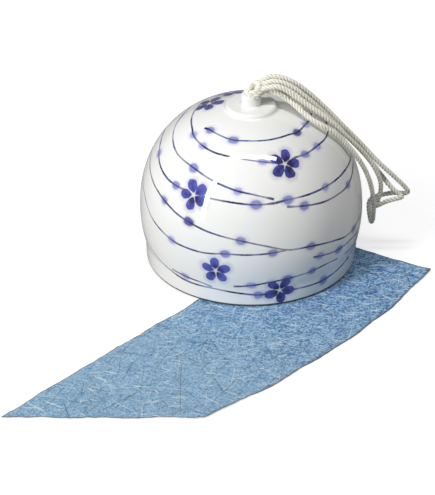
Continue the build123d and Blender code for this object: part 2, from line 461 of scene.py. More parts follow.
@dataclass(frozen=True)
class Cotton:
    """Twisted cotton yarn, off-white, with painted shade in the grooves between its plies."""

    name: str
    pale: Colour = (0.91, 0.895, 0.80)
    worn: Colour = (0.81, 0.79, 0.67)
    # painted shade for the grooves between the plies
    groove_shade: Colour = (0.40, 0.38, 0.28)
    lint: Colour = (0.93, 0.93, 0.90)
    fibre_turn: float = 26.0

    def material(self) -> bpy.types.Material:
        """The yarn's material, on each strand's own map.

        Returns:
            The material.
        """
        recipe = Recipe(self.name)
        yarn = recipe.along_yarn()
        fibres = recipe.turned(yarn, (0.055, 1.1, 1.0), self.fibre_turn)
        hair = recipe.grain(fibres, 1.0, 3.0, 0.6, 0.4)
        place = recipe.place()
        tint = recipe.patches(place, 160.0, 3.0, 0.35, 0.7)
        colour = recipe.mixed(tint * 0.55, self.pale, self.worn)
        colour = recipe.mixed(recipe.soft_step(hair, 0.52, 0.72) * 0.32, colour, dimmed(self.worn, 0.62))
        # painted shade: the yarn darkens towards the grooves between its plies
        groove_shade = recipe.soft_drop(recipe.stored("crest", "Fac"), 0.10, 0.80)
        colour = recipe.mixed(groove_shade * 0.78, colour, self.groove_shade)
        lint = recipe.patches(place, 2400.0, 2.0, 0.62, 0.72)
        recipe.feed({
            "Base Color": recipe.mixed(lint * 0.25, colour, self.lint),
            "Roughness": 0.62 + hair * 0.25,
            "Sheen Weight": 0.35,
            "Sheen Roughness": 0.45,
            "Specular IOR Level": 0.35,
        })
        recipe.relief(hair + recipe.grain(place, 3200.0, 2.0) * 0.4, 0.7, 0.07)
        return recipe.material


@dataclass(frozen=True)
class FibreSet:
    """Fibres that run roughly one way: their bearing in degrees, and sizes in millimetres.

    A noise cuts them into lengths: they start to show where it passes shown, and are whole one fade above.
    """

    bearing: float
    length: float
    spacing: float
    thick: float
    shown: float
    fade: float
    curl: float = 8.0


@dataclass(frozen=True)
class Wrinkle:
    """Wrinkles of the paper that run roughly one way, with sizes in millimetres."""

    length: float
    spacing: float
    bearing: float
    shift: float


@dataclass(frozen=True)
class Washi:
    """Blue paper, finely creased, with long pale and dark fibres laid in at random."""

    deeper: Colour = (0.078, 0.225, 0.445)
    paler: Colour = (0.445, 0.670, 0.840)
    # painted shade: deeper, darker colours for the paper's right and back part
    deeper_in_shade: Colour = (0.036, 0.140, 0.375)
    paler_in_shade: Colour = (0.310, 0.535, 0.785)
    pale_fibre: Colour = (0.60, 0.79, 0.89)
    glint: Colour = (0.86, 0.94, 0.97)
    dark_fibre: Colour = (0.030, 0.080, 0.170)
    edge: Colour = (0.20, 0.17, 0.14)
    # painted light and shade: the crests of these wrinkles are painted lighter, the folds darker
    crests: Sequence[Wrinkle] = (
        Wrinkle(7.5, 2.6, 5.0, 0.0), Wrinkle(6.8, 3.0, -31.0, 7.0), Wrinkle(6.4, 3.2, 39.0, 13.0))
    folds: Sequence[Wrinkle] = (Wrinkle(8.0, 2.8, -6.0, 21.0), Wrinkle(6.6, 3.4, 62.0, 29.0))
    pale_sets: Sequence[FibreSet] = (
        FibreSet(4, 16.0, 1.8, 0.075, 0.47, 0.06, 13.0), FibreSet(26, 17.0, 2.3, 0.065, 0.47, 0.06, 13.0),
        FibreSet(-16, 17.0, 2.0, 0.07, 0.47, 0.06, 13.0), FibreSet(-40, 17.0, 2.6, 0.055, 0.48, 0.06, 12.0),
        FibreSet(55, 17.0, 3.1, 0.045, 0.49, 0.06, 12.0), FibreSet(84, 15.0, 4.6, 0.055, 0.51, 0.06, 9.0))
    glint_sets: Sequence[FibreSet] = (
        FibreSet(-12, 7.0, 3.1, 0.10, 0.60, 0.05), FibreSet(-33, 8.0, 3.7, 0.085, 0.60, 0.05),
        FibreSet(15, 6.0, 4.3, 0.08, 0.61, 0.05))
    dark_sets: Sequence[FibreSet] = (
        FibreSet(63, 22.0, 6.5, 0.036, 0.53, 0.03, 7.0), FibreSet(88, 16.0, 7.5, 0.032, 0.55, 0.03),
        FibreSet(40, 20.0, 7.5, 0.032, 0.55, 0.03), FibreSet(-20, 14.0, 5.5, 0.040, 0.55, 0.03, 9.0),
        FibreSet(117, 18.0, 7.9, 0.030, 0.56, 0.03), FibreSet(74, 10.0, 3.4, 0.045, 0.58, 0.04, 7.0))

    @staticmethod
    def _laid(recipe: Recipe, fibres: FibreSet, shift: float) -> Tone:
        """Thin curved lines, cut into lengths.

        Args:
            recipe: the material.
            fibres: how they run.
            shift: keeps the sets apart.

        Returns:
            1 on a fibre.
        """
        size = (fibres.length * MM, fibres.spacing * MM, 1.0)
        moved = recipe.moved(recipe.turned(recipe.place(), size, fibres.bearing), (shift, shift * 0.7, 0.0))
        inputs = {"Vector": moved, "Scale": math.tau / 20.0, "Distortion": fibres.curl, "Detail": 1.0,
                  "Detail Scale": 1.1, "Detail Roughness": 0.4, "Phase Offset": shift}
        band = recipe.tone("TexWave", inputs, 1, wave_type="BANDS", bands_direction="Y", wave_profile="SIN")
        edge = 0.5 + 0.5 * math.cos(math.pi * fibres.thick)
        line = recipe.soft_step(band, edge, 0.5 + edge * 0.5)
        return line * recipe.patches(moved, 1.35, 0.0, fibres.shown, fibres.shown + fibres.fade)

    @staticmethod
    def _wrinkled(recipe: Recipe, wrinkles: Sequence[Wrinkle]) -> Tone:
        """Thin curved wrinkles.

        Args:
            recipe: the material.
            wrinkles: how they run.

        Returns:
            1 on a wrinkle.
        """
        marks = []
        for one in wrinkles:
            laid = recipe.turned(recipe.place(), (one.length * MM, one.spacing * MM, 1.0), one.bearing)
            moved = recipe.moved(laid, (one.shift, one.shift, 0.0))
            away = abs(recipe.grain(moved, 1.0, 1.0, 0.5, 0.8) - 0.5)
            marks.append(recipe.soft_drop(away, 0.006, 0.045))
        return recipe.most(*marks)

    def _all_laid(self, recipe: Recipe, sets: Sequence[FibreSet], shift: float) -> Tone:
        """Every set of one colour together."""
        return recipe.most(*[self._laid(recipe, fibres, shift + 3.7 * i) for i, fibres in enumerate(sets)])

    def material(self) -> bpy.types.Material:
        """The paper's material, on object coordinates.

        Returns:
            The material.
        """
        recipe = Recipe("blue_washi")
        place = recipe.place()
        across, up, _ = recipe.parts_of(place)
        # painted shade: towards the right and back the paper turns deeper and darker, with more contrast
        far = recipe.soft_step(across * 0.661 + up * 0.750, -0.075, 0.012)
        cloud = recipe.grain(place, 55.0, 3.0) - 0.5
        pulp = recipe.grain(recipe.turned(place, (0.00072, 0.00088, 1.0), 24.0), 1.0, 2.0, 0.7, 0.3) - 0.5
        ply = recipe.grain(recipe.turned(place, (0.0034, 0.0011, 1.0), -9.0), 1.0, 2.0, 0.6, 0.8) - 0.5
        crest = self._wrinkled(recipe, self.crests)
        fold = self._wrinkled(recipe, self.folds)
        # painted light and shade: wrinkle crests lighten the colour and folds darken it
        crease = pulp * 4.2 + ply * 0.45 + cloud * 0.4 + crest * 0.34 - fold * 0.50
        value = 0.53 + crease * (0.42 + far * 0.90) - far * 0.02
        deeper = recipe.mixed(far, self.deeper, self.deeper_in_shade)
        paler = recipe.mixed(far, self.paler, self.paler_in_shade)
        colour = recipe.mixed(value, deeper, paler)
        pale = self._all_laid(recipe, self.pale_sets, 0.0)
        dark = self._all_laid(recipe, self.dark_sets, 41.0)
        glint = self._all_laid(recipe, self.glint_sets, 77.0)
        patchy = (0.35 + recipe.patches(place, 160.0, 2.0, 0.36, 0.62) * 0.55) * (0.78 + far * 0.22)
        colour = recipe.mixed(dark * 0.62, colour, self.dark_fibre)
        colour = recipe.mixed(pale * patchy, colour, self.pale_fibre)
        colour = recipe.mixed(glint * 0.75, colour, self.glint)
        inset = recipe.stored("inset", "Fac") + (recipe.grain(place, 900.0, 2.0) - 0.5) * 0.5
        colour = recipe.mixed((recipe.soft_drop(inset, 0.14, 0.46)) * 0.85, colour, self.edge)
        recipe.feed({
            "Base Color": colour,
            "Roughness": 0.86 - pale * 0.2,
            "Sheen Weight": 0.12,
            "Specular IOR Level": 0.3,
        })
        recipe.relief(crease * 0.55 + pale * 0.4 + glint * 0.4 - dark * 0.4, 0.9, 0.35)
        return recipe.material


# ---------------------------------------------------------------- the bell's form


@dataclass
class BellForm:
    """The bell's profile, in millimetres, from the same values as the part's own."""

    rim_radius: float = 33.2
    rim_wall: float = 2.6
    rim_round: float = 0.5
    skirt_height: float = 6.3
    skirt_flare: float = 0.3
    belly_radius: float = 35.0
    belly_height: float = 17.2
    belly_wall: float = 2.7
    dome_height: float = 52.3
    crown_wall: float = 3.2
    dome_power: float = 2.19
    boss_radius: float = 8.0
    boss_rise: float = 0.7
    boss_round: float = 0.95
    boss_root: float = 1.1
    neck_radius: float = 3.15
    neck_height: float = 3.5
    neck_round: float = 0.8
    neck_root: float = 0.4
    bore_radius: float = 1.2
    bore_round: float = 0.3

    @property
    def boss_top(self) -> float:
        """Height of the boss's flat."""
        return self.dome_height + self.boss_rise

    @property
    def neck_top(self) -> float:
        """Height of the neck's flat."""
        return self.boss_top + self.neck_height

    @property
    def cavity_top(self) -> float:
        """Height of the hollow's own crown."""
        return self.dome_height - self.crown_wall

    def dome_up(self, out: float, radius: float, top: float) -> float:
        """The dome's height at a distance from the axis.

        Args:
            out: the distance.
            radius: the dome's, at its widest place.
            top: the height of its top.

        Returns:
            The height.
        """
        share = min(1.0, out / radius)
        rise = (1.0 - share**self.dome_power) ** (1.0 / self.dome_power)
        return self.belly_height + (top - self.belly_height) * rise

    @staticmethod
    def arc(centre: Place, radius: float, first: float, last: float, steps: int) -> List[Place]:
        """Points of a round corner, between two bearings in degrees, without its first point."""
        turns = [math.radians(first + (last - first) * i / steps) for i in range(1, steps + 1)]
        return [(centre[0] + radius * math.cos(t), centre[1] + radius * math.sin(t)) for t in turns]

    @staticmethod
    def straight(first: Place, last: Place, step: float) -> List[Place]:
        """Points of a straight run, without its first point."""
        count = max(1, round(math.dist(first, last) / step))
        return [tuple(a + (b - a) * i / count for a, b in zip(first, last)) for i in range(1, count + 1)]

    def belly_curve(self, foot: float, wide: float) -> float:
        """Radius of the arc from the skirt's top to the widest place."""
        rise, out = self.belly_height - self.skirt_height, wide - foot
        return (rise**2 + out**2) / (2 * out)

    def outer_radius(self, height: float) -> float:
        """How far the outside is from the axis at a height.

        Args:
            height: the height above the rim.

        Returns:
            The distance.
        """
        if height >= self.belly_height:
            share = min(1.0, (height - self.belly_height) / (self.dome_height - self.belly_height))
            return self.belly_radius * (1.0 - share**self.dome_power) ** (1.0 / self.dome_power)
        if height <= self.skirt_height:
            return self.rim_radius + self.skirt_flare * max(0.0, height) / self.skirt_height
        radius = self.belly_curve(self.rim_radius + self.skirt_flare, self.belly_radius)
        return self.belly_radius - radius + math.sqrt(radius**2 - (self.belly_height - height) ** 2)

    def belly(self, foot: float, wide: float, step: float) -> List[Place]:
        """The arc from the skirt's top up to the widest place.

        Args:
            foot: the skirt's radius at its top.
            wide: the radius at the widest place.
            step: about how far the points are apart.

        Returns:
            The points, without the first.
        """
        rise, out = self.belly_height - self.skirt_height, wide - foot
        radius = self.belly_curve(foot, wide)
        sweep = math.degrees(math.asin(rise / radius))
        steps = max(2, round(math.hypot(rise, out) / step))
        return self.arc((wide - radius, self.belly_height), radius, -sweep, 0.0, steps)

    def dome(self, radius: float, top: float, inner: float, step: float) -> List[Place]:
        """The dome from its widest place in to a distance from the axis, evenly spaced.

        Args:
            radius: the dome's, at its widest place.
            top: the height of its top.
            inner: where it ends.
            step: about how far the points are apart.

        Returns:
            The points, without the first.
        """
        fine = []
        for i in range(1, 1201):
            turn = math.pi / 2 * i / 1200
            out = radius * math.cos(turn) ** (2 / self.dome_power)
            fine.append((out, self.dome_up(out, radius, top)))
        points, last = [], (radius, self.belly_height)
        for point in fine:
            if point[0] <= inner + step * 0.5:
                break
            if math.dist(point, last) >= step:
                points.append(point)
                last = point
        return points + [(inner, self.dome_up(inner, radius, top))]

    def outside(self, step: float) -> List[Place]:
        """The outline that the painting lies on, from the rim up to the boss.

        Args:
            step: about how far the points are apart.

        Returns:
            The points.
        """
        root = self.boss_radius + self.boss_root
        skirt_top = (self.rim_radius + self.skirt_flare, self.skirt_height)
        points = [(self.rim_radius, self.rim_round)]
        points += self.straight(points[-1], skirt_top, step)
        points += self.belly(skirt_top[0], self.belly_radius, step)
        return points + self.dome(self.belly_radius, self.dome_height, root, step)

    def crown(self) -> List[Place]:
        """The boss, the neck and the bore, from the boss's root to the bore's lower end.

        Returns:
            The points, without the first.
        """
        root = self.boss_radius + self.boss_root
        foot = self.dome_up(root, self.belly_radius, self.dome_height) + self.boss_root
        top, neck = self.boss_top, self.neck_top
        mouth = self.bore_radius + self.bore_round
        shoulder = (self.boss_radius - self.boss_round, top - self.boss_round)
        root_out, lip_out = self.neck_radius + self.neck_root, self.neck_radius - self.neck_round
        points = self.arc((root, foot), self.boss_root, 270.0, 180.0, 6)
        points += self.arc(shoulder, self.boss_round, 0.0, 90.0, 7)
        points += self.straight(points[-1], (root_out, top), 0.9)
        points += self.arc((root_out, top + self.neck_root), self.neck_root, 270.0, 180.0, 4)
        points += self.straight(points[-1], (self.neck_radius, neck - self.neck_round), 0.8)
        points += self.arc((lip_out, neck - self.neck_round), self.neck_round, 0.0, 90.0, 6)
        points += self.straight(points[-1], (mouth, neck), 0.5)
        points += self.arc((mouth, neck - self.bore_round), self.bore_round, 90.0, 180.0, 3)
        inner = self.dome_up(self.bore_radius, self.belly_radius - self.belly_wall, self.cavity_top)
        return points + self.straight(points[-1], (self.bore_radius, inner), 1.6)

    def inside(self, step: float) -> List[Place]:
        """The hollow and the rim's flat, from the bore down to where outside starts.

        Args:
            step: about how far the points are apart.

        Returns:
            The points, without either end.
        """
        wide = self.belly_radius - self.belly_wall
        rim = self.rim_radius - self.rim_wall
        down = list(reversed(self.dome(wide, self.cavity_top, self.bore_radius, step)))[1:]
        down += [(wide, self.belly_height)]
        low = self.belly(rim + self.skirt_flare, wide, step)
        down += list(reversed(low[:-1])) + [(rim + self.skirt_flare, self.skirt_height)]
        down += self.straight(down[-1], (rim, self.rim_round), step)
        down += self.arc((rim + self.rim_round, self.rim_round), self.rim_round, 180.0, 270.0, 4)
        flat = (self.rim_radius - self.rim_round, 0.0)
        down += self.straight(down[-1], flat, 0.8)
        return down + self.arc((flat[0], self.rim_round), self.rim_round, 270.0, 360.0, 4)[:-1]


# ---------------------------------------------------------------- the painting


class Ink(Enum):
    """How heavily a bud or a blossom is painted."""

    PALE = 0.12
    HALF = 0.5
    FULL = 1.0


@dataclass
class Stroke:
    """One brush line: places (degrees round from the viewer to the right, degrees up), and its buds."""

    places: Sequence[Place]
    buds: Sequence[Tuple[int, Ink]] = ()


@dataclass
class Blossom:
    """One plum blossom: where it is, how far it is turned, its radius in millimetres and its ink."""

    place: Place
    turn: float
    radius: float = 4.5
    ink: Ink = Ink.HALF


FAR = 9.0
PALE, HALF, FULL = Ink
STROKES = (
    Stroke([(-59, 62.5), (-51, 63.3), (-37, 62.9), (-19, 62.1), (-5, 62.4), (18, 62.2), (42, 61.9),
            (53, 60.8), (72, 60.8), (98, 58.6)], [(1, HALF), (3, HALF), (7, FULL), (8, PALE)]),
    Stroke([(-100, 60.0), (-73, 58.1), (-62, 56.2), (-44, 54.2), (-32, 53.2), (-16, 52.7), (-2, 51.8),
            (9, 50.6), (18, 49.4)], [(2, PALE), (3, PALE), (7, PALE)]),
    Stroke([(31.5, 49.0), (36, 49.6), (44, 49.2), (59, 49.5), (71, 49.0), (83, 48.7), (96, 49.5)],
            [(2, HALF), (3, PALE)]),
    Stroke([(-105, 52.4), (-91, 49.2), (-77, 46.8), (-61, 44.3), (-41, 42.5), (-24, 39.3), (-8, 36.2),
            (2, 34.6), (13, 31.9)], [(4, HALF), (6, PALE)]),
    Stroke([(-89, 39.1), (-79, 36.4), (-69, 33.6), (-57, 31.6), (-48, 31.0), (-40, 31.0)],
            [(1, PALE), (4, HALF)]),
    Stroke([(-29, 30.9), (-24, 30.9), (-12, 30.6), (2.7, 29.8), (13.4, 30.0)], [(3, HALF)]),
    Stroke([(13.6, 30.0), (21, 30.6), (34, 30.5), (47, 30.6), (58, 30.6), (73, 30.6), (89, 29.8)],
            [(1, HALF), (3, PALE)]),
    Stroke([(20, 27.4), (30, 25.8), (43, 24.2), (54, 23.8), (66, 23.9), (83, 26.9)], [(1, HALF), (4, HALF)]),
    Stroke([(-82, 27.6), (-69, 24.7), (-53, 21.2), (-42, 18.2), (-34, 16.6), (-22, 14.2), (-5, 11.6),
            (7, 8.8), (18, 5.3), (24, 4.6), (31.5, 4.0), (46, 1.6), (56, -0.6), (65, -0.6)],
            [(2, HALF), (4, FULL), (6, HALF), (10, HALF), (13, PALE)]),
    Stroke([(-84, 16.7), (-74, 13.7), (-61, 7.5), (-44, 3.1), (-35, 2.3), (-24, 2.3), (-13, 3.8), (-2, 4.0),
            (10.9, 4.6), (18, 5.3)], [(3, PALE), (6, HALF), (8, HALF)]),
    Stroke([(33, -2.9), (37, -3.7), (51, -5.7), (61, -5.6)], [(1, PALE), (2, HALF)]),
    Stroke([(58, -12.0), (71, -12.7)]),
    Stroke([(-9, -16.1), (0, -15.0), (9, -13.4), (19, -12.4), (33, -11.5), (42, -10.8), (51, -11.4)],
            [(1, PALE), (3, HALF), (4, HALF)]),
    Stroke([(21, -20.4), (32, -20.9), (42, -21.0), (53, -20.0), (66, -18.4)], [(2, HALF)]),
    Stroke([(-73, -8.9), (-61, -14.3), (-49, -17.5), (-36, -19.4), (-19, -19.4), (-6, -20.3), (4, -21.1),
            (10, -20.6)], [(6, HALF)]),
    Stroke([(-46, -16.0), (-37, -16.6), (-28, -17.2), (-21, -18.6)], [(1, PALE)]),
    Stroke([(98, 58.6), (118, 57.0), (138, 58.4), (160, 60.2), (182, 58.2), (206, 57.2), (231, 59.5),
            (247, 60.7), (260, 60.0)], [(1, HALF), (3, PALE), (5, HALF)]),
    Stroke([(96, 49.5), (114, 46.2), (134, 44.0), (155, 45.2), (176, 42.0), (196, 40.4), (214, 44.4),
            (229, 49.8), (243, 53.3), (255, 52.4)], [(1, PALE), (3, HALF), (5, HALF), (7, PALE)]),
    Stroke([(89, 29.8), (108, 33.0), (126, 35.6)], [(1, HALF)]),
    Stroke([(137, 35.4), (154, 33.4), (174, 29.8), (196, 27.0), (216, 25.2), (225, 25.2)],
            [(1, PALE), (3, FULL)]),
    Stroke([(239, 28.4), (249, 35.4), (259, 39.9), (271, 39.1)], [(1, HALF)]),
    Stroke([(83, 26.9), (96, 27.3), (113, 24.0), (135, 18.4), (158, 15.0)], [(1, PALE), (3, HALF)]),
    Stroke([(171, 14.0), (192, 13.2), (215, 16.9), (236, 22.4), (253, 28.2), (267, 29.8), (278, 27.6)],
            [(1, HALF), (3, PALE), (4, HALF)]),
    Stroke([(65, -0.6), (85, 3.2), (105, 6.8), (130, 7.6), (155, 4.8), (180, 2.2), (205, 4.2), (227, 9.2),
            (246, 15.6), (262, 18.6), (276, 16.7)], [(1, HALF), (3, PALE), (5, HALF), (7, FULL), (8, PALE)]),
    Stroke([(61, -5.6), (80, -6.8), (98, -6.0)], [(1, HALF)]),
    Stroke([(111, -4.6), (126, -3.2), (150, -5.8), (175, -8.6), (200, -7.0), (225, -4.2), (250, -3.2),
            (270, -5.0), (287, -8.9)], [(1, PALE), (3, HALF), (5, PALE), (6, HALF)]),
    Stroke([(71, -12.7), (90, -14.2), (115, -17.0), (140, -19.0), (165, -18.2), (184, -16.0)],
            [(1, HALF), (3, HALF), (4, PALE)]),
    Stroke([(198, -15.4), (218, -16.2), (240, -19.0), (266, -17.6), (287, -14.0)], [(1, HALF), (3, PALE)]),
)
BLOSSOMS = (
    Blossom((-113, 66.8), 20, 4.9, FULL), Blossom((25, 47.9), 66, 5.2, FULL),
    Blossom((-34, 30.3), 46, 5.1, HALF), Blossom((-18.2, -7.0), 94, 5.0, HALF),
    Blossom((15.2, -19.4), 60, 4.9, FULL), Blossom((131.5, 36.0), 60, 4.9, HALF),
    Blossom((232, 26.0), 15, 5.0, FULL), Blossom((164.5, 14.2), 40, 4.9, HALF),
    Blossom((104.5, -5.6), 80, 4.8, HALF), Blossom((191, -15.6), 25, 4.8, FULL),
    Blossom((206, 66.0), 50, 4.7, HALF),
)
Spot = Tuple[Vector, float, float, Ink]


@dataclass
class Painting:
    """Branch lines with buds and blossoms, measured from the centre of the bell's widest circle.

    Where a field has nothing near it holds FAR. Lengths are in millimetres.
    """

    form: BellForm
    gap: float = 3.0
    bud_layers: int = 3
    bud_radius: float = 1.78
    bud_shape: Place = (1.14, 0.92)
    wall_slack: float = 0.4
    line_margin: float = 6.0
    run_steps: int = 14
    batch: int = 2500
    strokes: Sequence[Stroke] = STROKES
    blossoms: Sequence[Blossom] = BLOSSOMS

    def on_bell(self, place: Place) -> Vector:
        """The point of the bell's outside that a place names.

        Args:
            place: degrees round and degrees up.

        Returns:
            The point, in millimetres.
        """
        turn, lift = math.radians(place[0]), math.radians(place[1])
        low, high = 5.0, 60.0
        for _ in range(40):
            middle = (low + high) / 2
            height = self.form.belly_height + middle * math.sin(lift)
            inside = middle * math.cos(lift) < self.form.outer_radius(height)
            low, high = (middle, high) if inside else (low, middle)
        out = low * math.cos(lift)
        height = self.form.belly_height + low * math.sin(lift)
        return Vector((out * math.sin(turn), -out * math.cos(turn), height))

    def _line(self, stroke: Stroke) -> np.ndarray:
        """A stroke as close points on the bell."""
        return np.array([self.on_bell(p) for p in smooth_run(stroke.places, self.run_steps)])

    def _axes(self, middle: Vector, turn: float) -> Tuple[np.ndarray, np.ndarray]:
        """Two directions in the bell's surface.

        Args:
            middle: the point that they start from.
            turn: how far they are turned, in degrees.

        Returns:
            The two directions.
        """
        normal = Vector((middle.x, middle.y, (middle.z - self.form.belly_height) * 0.95)).normalized()
        right = Vector((0, 0, 1)).cross(normal).normalized()
        up = normal.cross(right)
        angle = math.radians(turn)
        first = right * math.cos(angle) + up * math.sin(angle)
        return np.array(first), np.array(normal.cross(first))

    def lay(self, mesh: bpy.types.Mesh) -> int:
        """Stores the painting's fields at the mesh's points, for those that lie on the outside.

        Args:
            mesh: the bell's mesh, in metres.

        Returns:
            How many layers of lines it stored.
        """
        points = np.empty(len(mesh.vertices) * 3)
        mesh.vertices.foreach_get("co", points)
        points = points.reshape(-1, 3) / MM
        out = np.hypot(points[:, 0], points[:, 1])
        wall = np.array([self.form.outer_radius(z) for z in points[:, 2]])
        painted = (np.abs(out - wall) < self.wall_slack) & (out > self.form.boss_radius + self.wall_slack)
        lines = [self._line(s) for s in self.strokes]
        layers = self._share_layers(lines)
        for number, members in enumerate(layers):
            values = np.tile(np.array([FAR, -FAR, FAR]), (len(points), 1))
            for index in members:
                self._add_line(values, points, painted, lines[index])
            store(mesh, f"line_{number}", values)
        buds = []
        for number, stroke in enumerate(self.strokes):
            for index, ink in stroke.buds:
                chance = noise.noise(Vector((number * 1.7, index * 2.3, 0.5)))
                size = self.bud_radius * (0.92 + 0.16 * ink.value + 0.16 * chance)
                buds.append((self.on_bell(stroke.places[index]), 0.0, size, ink))
        for number, members in enumerate(self._share_spots(buds)):
            self._add_spots(mesh, f"bud_{number}", points, painted, members)
        spots = [(self.on_bell(b.place), b.turn, b.radius, b.ink) for b in self.blossoms]
        self._add_spots(mesh, "blossom", points, painted, spots)
        return len(layers)

    def _share_spots(self, spots: List[Spot]) -> List[List[Spot]]:
        """Sorts the buds into as many layers as there are, so that near ones fall apart.

        Args:
            spots: the buds.

        Returns:
            The buds of each layer.
        """
        layers: List[List[Spot]] = [[] for _ in range(self.bud_layers)]
        for spot in spots:
            gaps = [min([math.dist(spot[0], other[0]) for other in layer], default=math.inf)
                    for layer in layers]
            layers[gaps.index(max(gaps))].append(spot)
        return layers

    def _share_layers(self, lines: List[np.ndarray]) -> List[List[int]]:
        """Sorts the lines into layers in which no two come near each other.

        Args:
            lines: the lines' points.

        Returns:
            The numbers of the lines in each layer.
        """
        layers: List[List[int]] = []
        for index, line in enumerate(lines):
            for layer in layers:
                if min(self._apart(line, lines[other]) for other in layer) > self.gap:
                    layer.append(index)
                    break
            else:
                layers.append([index])
        return layers

    @staticmethod
    def _apart(first: np.ndarray, second: np.ndarray) -> float:
        """The least distance between two lines' points."""
        return float(np.min(np.linalg.norm(first[:, None, :] - second[None, :, :], axis=2)))

    def _add_line(self, values: np.ndarray, points: np.ndarray, painted: np.ndarray,
                  line: np.ndarray) -> None:
        """Puts one line's offset, inset and distance where it is the nearest so far.

        Args:
            values: the layer's rows, which are changed.
            points: the mesh's points.
            painted: which of them lie on the outside.
            line: the line's points.
        """
        low, high = line.min(axis=0) - self.line_margin, line.max(axis=0) + self.line_margin
        chosen = np.nonzero(painted & np.all((points > low) & (points < high), axis=1))[0]
        start, step = line[:-1], np.diff(line, axis=0)
        length = np.linalg.norm(step, axis=1)
        before = np.concatenate([[0.0], np.cumsum(length)])
        for part in np.array_split(chosen, max(1, len(chosen) // self.batch)):
            if not len(part):
                continue
            away = points[part][:, None, :] - start[None, :, :]
            share = np.einsum("pse,se->ps", away, step) / length**2
            held = np.clip(share, 0.0, 1.0)
            gap = np.linalg.norm(away - held[..., None] * step[None], axis=2)
            best = np.argmin(gap, axis=1)
            row = np.arange(len(part))
            nearest, run, frac = gap[row, best], step[best], share[row, best]
            low_end = np.where(best == 0, -np.inf, 0.0)
            frac = np.clip(frac, low_end, np.where(best == len(step) - 1, np.inf, 1.0))
            along = before[best] + frac * length[best]
            offset_vector = away[row, best] - frac[:, None] * run
            normal = points[part] - np.array([0.0, 0.0, self.form.belly_height])
            side = np.sign(np.einsum("pe,pe->p", np.cross(run, offset_vector), normal))
            offset = np.linalg.norm(offset_vector, axis=1) * np.where(side == 0, 1, side)
            inset = np.minimum(along, before[-1] - along)
            closer = nearest < values[part, 2]
            values[part[closer]] = np.stack([offset, inset, nearest], axis=1)[closer]

    def _add_spots(self, mesh: bpy.types.Mesh, name: str, points: np.ndarray, painted: np.ndarray,
                   spots: List[Spot]) -> None:
        """Stores the nearest spot's own coordinates, in its radii, with its ink and its distance.

        Args:
            mesh: the bell's mesh.
            name: the field's name.
            points: the mesh's points.
            painted: which of them lie on the outside.
            spots: the buds or blossoms.
        """
        values = np.tile(np.array([FAR, FAR, Ink.HALF.value]), (len(points), 1))
        far = np.full(len(points), FAR)
        for middle, turn, radius, ink in spots:
            first, second = self._axes(middle, turn)
            away = points - np.array(middle)
            gap = np.linalg.norm(away, axis=1) / radius
            closer = painted & (gap < far)
            wide, tall = self.bud_shape if name.startswith("bud") else (1.0, 1.0)
            stored = np.stack([away @ first / radius / wide, away @ second / radius / tall,
                               np.full(len(points), ink.value)], axis=1)
            values[closer] = stored[closer]
            far[closer] = gap[closer]
        store(mesh, name, values)
        store(mesh, name + "_far", far)


def store(mesh: bpy.types.Mesh, name: str, values: np.ndarray) -> None:
    """Adds a point attribute to a mesh from an array of numbers or of vectors.

    Args:
        mesh: the mesh.
        name: the attribute's name.
        values: one row for each point.
    """
    single = values.ndim == 1
    attribute = mesh.attributes.new(name, "FLOAT" if single else "FLOAT_VECTOR", "POINT")
    attribute.data.foreach_set("value" if single else "vector", values.astype(np.float32).ravel())


def smooth_run(places: Sequence[Sequence[float]], steps: int) -> List[Tuple[float, ...]]:
    """A smooth run through a few places, as many small steps between each two of them.

    Args:
        places: what it runs through.
        steps: how many steps lie between two of them.

    Returns:
        Its points, with both ends.
    """
    ends = [places[0], *places, places[-1]]
    run: List[Tuple[float, ...]] = []
    for a, b, c, d in zip(ends, ends[1:], ends[2:], ends[3:]):
        for i in range(steps):
            t = i / steps
            run.append(tuple(0.5 * (2 * q + (r - p) * t + (2 * p - 5 * q + 4 * r - s) * t * t
                                    + (3 * q - p - 3 * r + s) * t**3) for p, q, r, s in zip(a, b, c, d)))
    run.append(tuple(float(v) for v in places[-1]))
    return run


def ripple(x: float, y: float, rate: float, row: float) -> float:
    """Noise from -1 to 1 over a flat place, at a rate per millimetre."""
    return noise.noise(Vector((x * rate, y * rate, row)))


# ---------------------------------------------------------------- pieces


def new_piece(name: str, mesh: bpy.types.Mesh, material: bpy.types.Material) -> bpy.types.Object:
    """Links a mesh as an object at the origin, smooth and with its material.

    Args:
        name: the piece's name.
        mesh: its mesh, with its place in it.
        material: its finish.

    Returns:
        The new object.
    """
    mesh.materials.clear()
    mesh.materials.append(material)
    mesh.polygons.foreach_set("use_smooth", [True] * len(mesh.polygons))
    piece = bpy.data.objects.new(name, mesh)
    bpy.context.scene.collection.objects.link(piece)
    return piece


def stands_for(piece: bpy.types.Object, node: str, body: str = "") -> None:
    """Hides the CAD node that a piece stands for, attaches the piece to its body, and logs it.

    Args:
        piece: the piece.
        node: the CAD node that it replaces.
        body: the body that it rides on; when empty, the piece is attached to none.
    """
    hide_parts(node)
    if body:
        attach(piece, body)
    log.info("%s for %s: %d faces", piece.name, node, len(piece.data.polygons))


def from_bmesh(name: str, bm: bmesh.types.BMesh) -> bpy.types.Mesh:
    """Turns a finished bmesh into a mesh and frees it.

    Args:
        name: the mesh's name.
        bm: the finished bmesh.

    Returns:
        The mesh.
    """
    mesh = bpy.data.meshes.new(name)
    bm.to_mesh(mesh)
    bm.free()
    return mesh


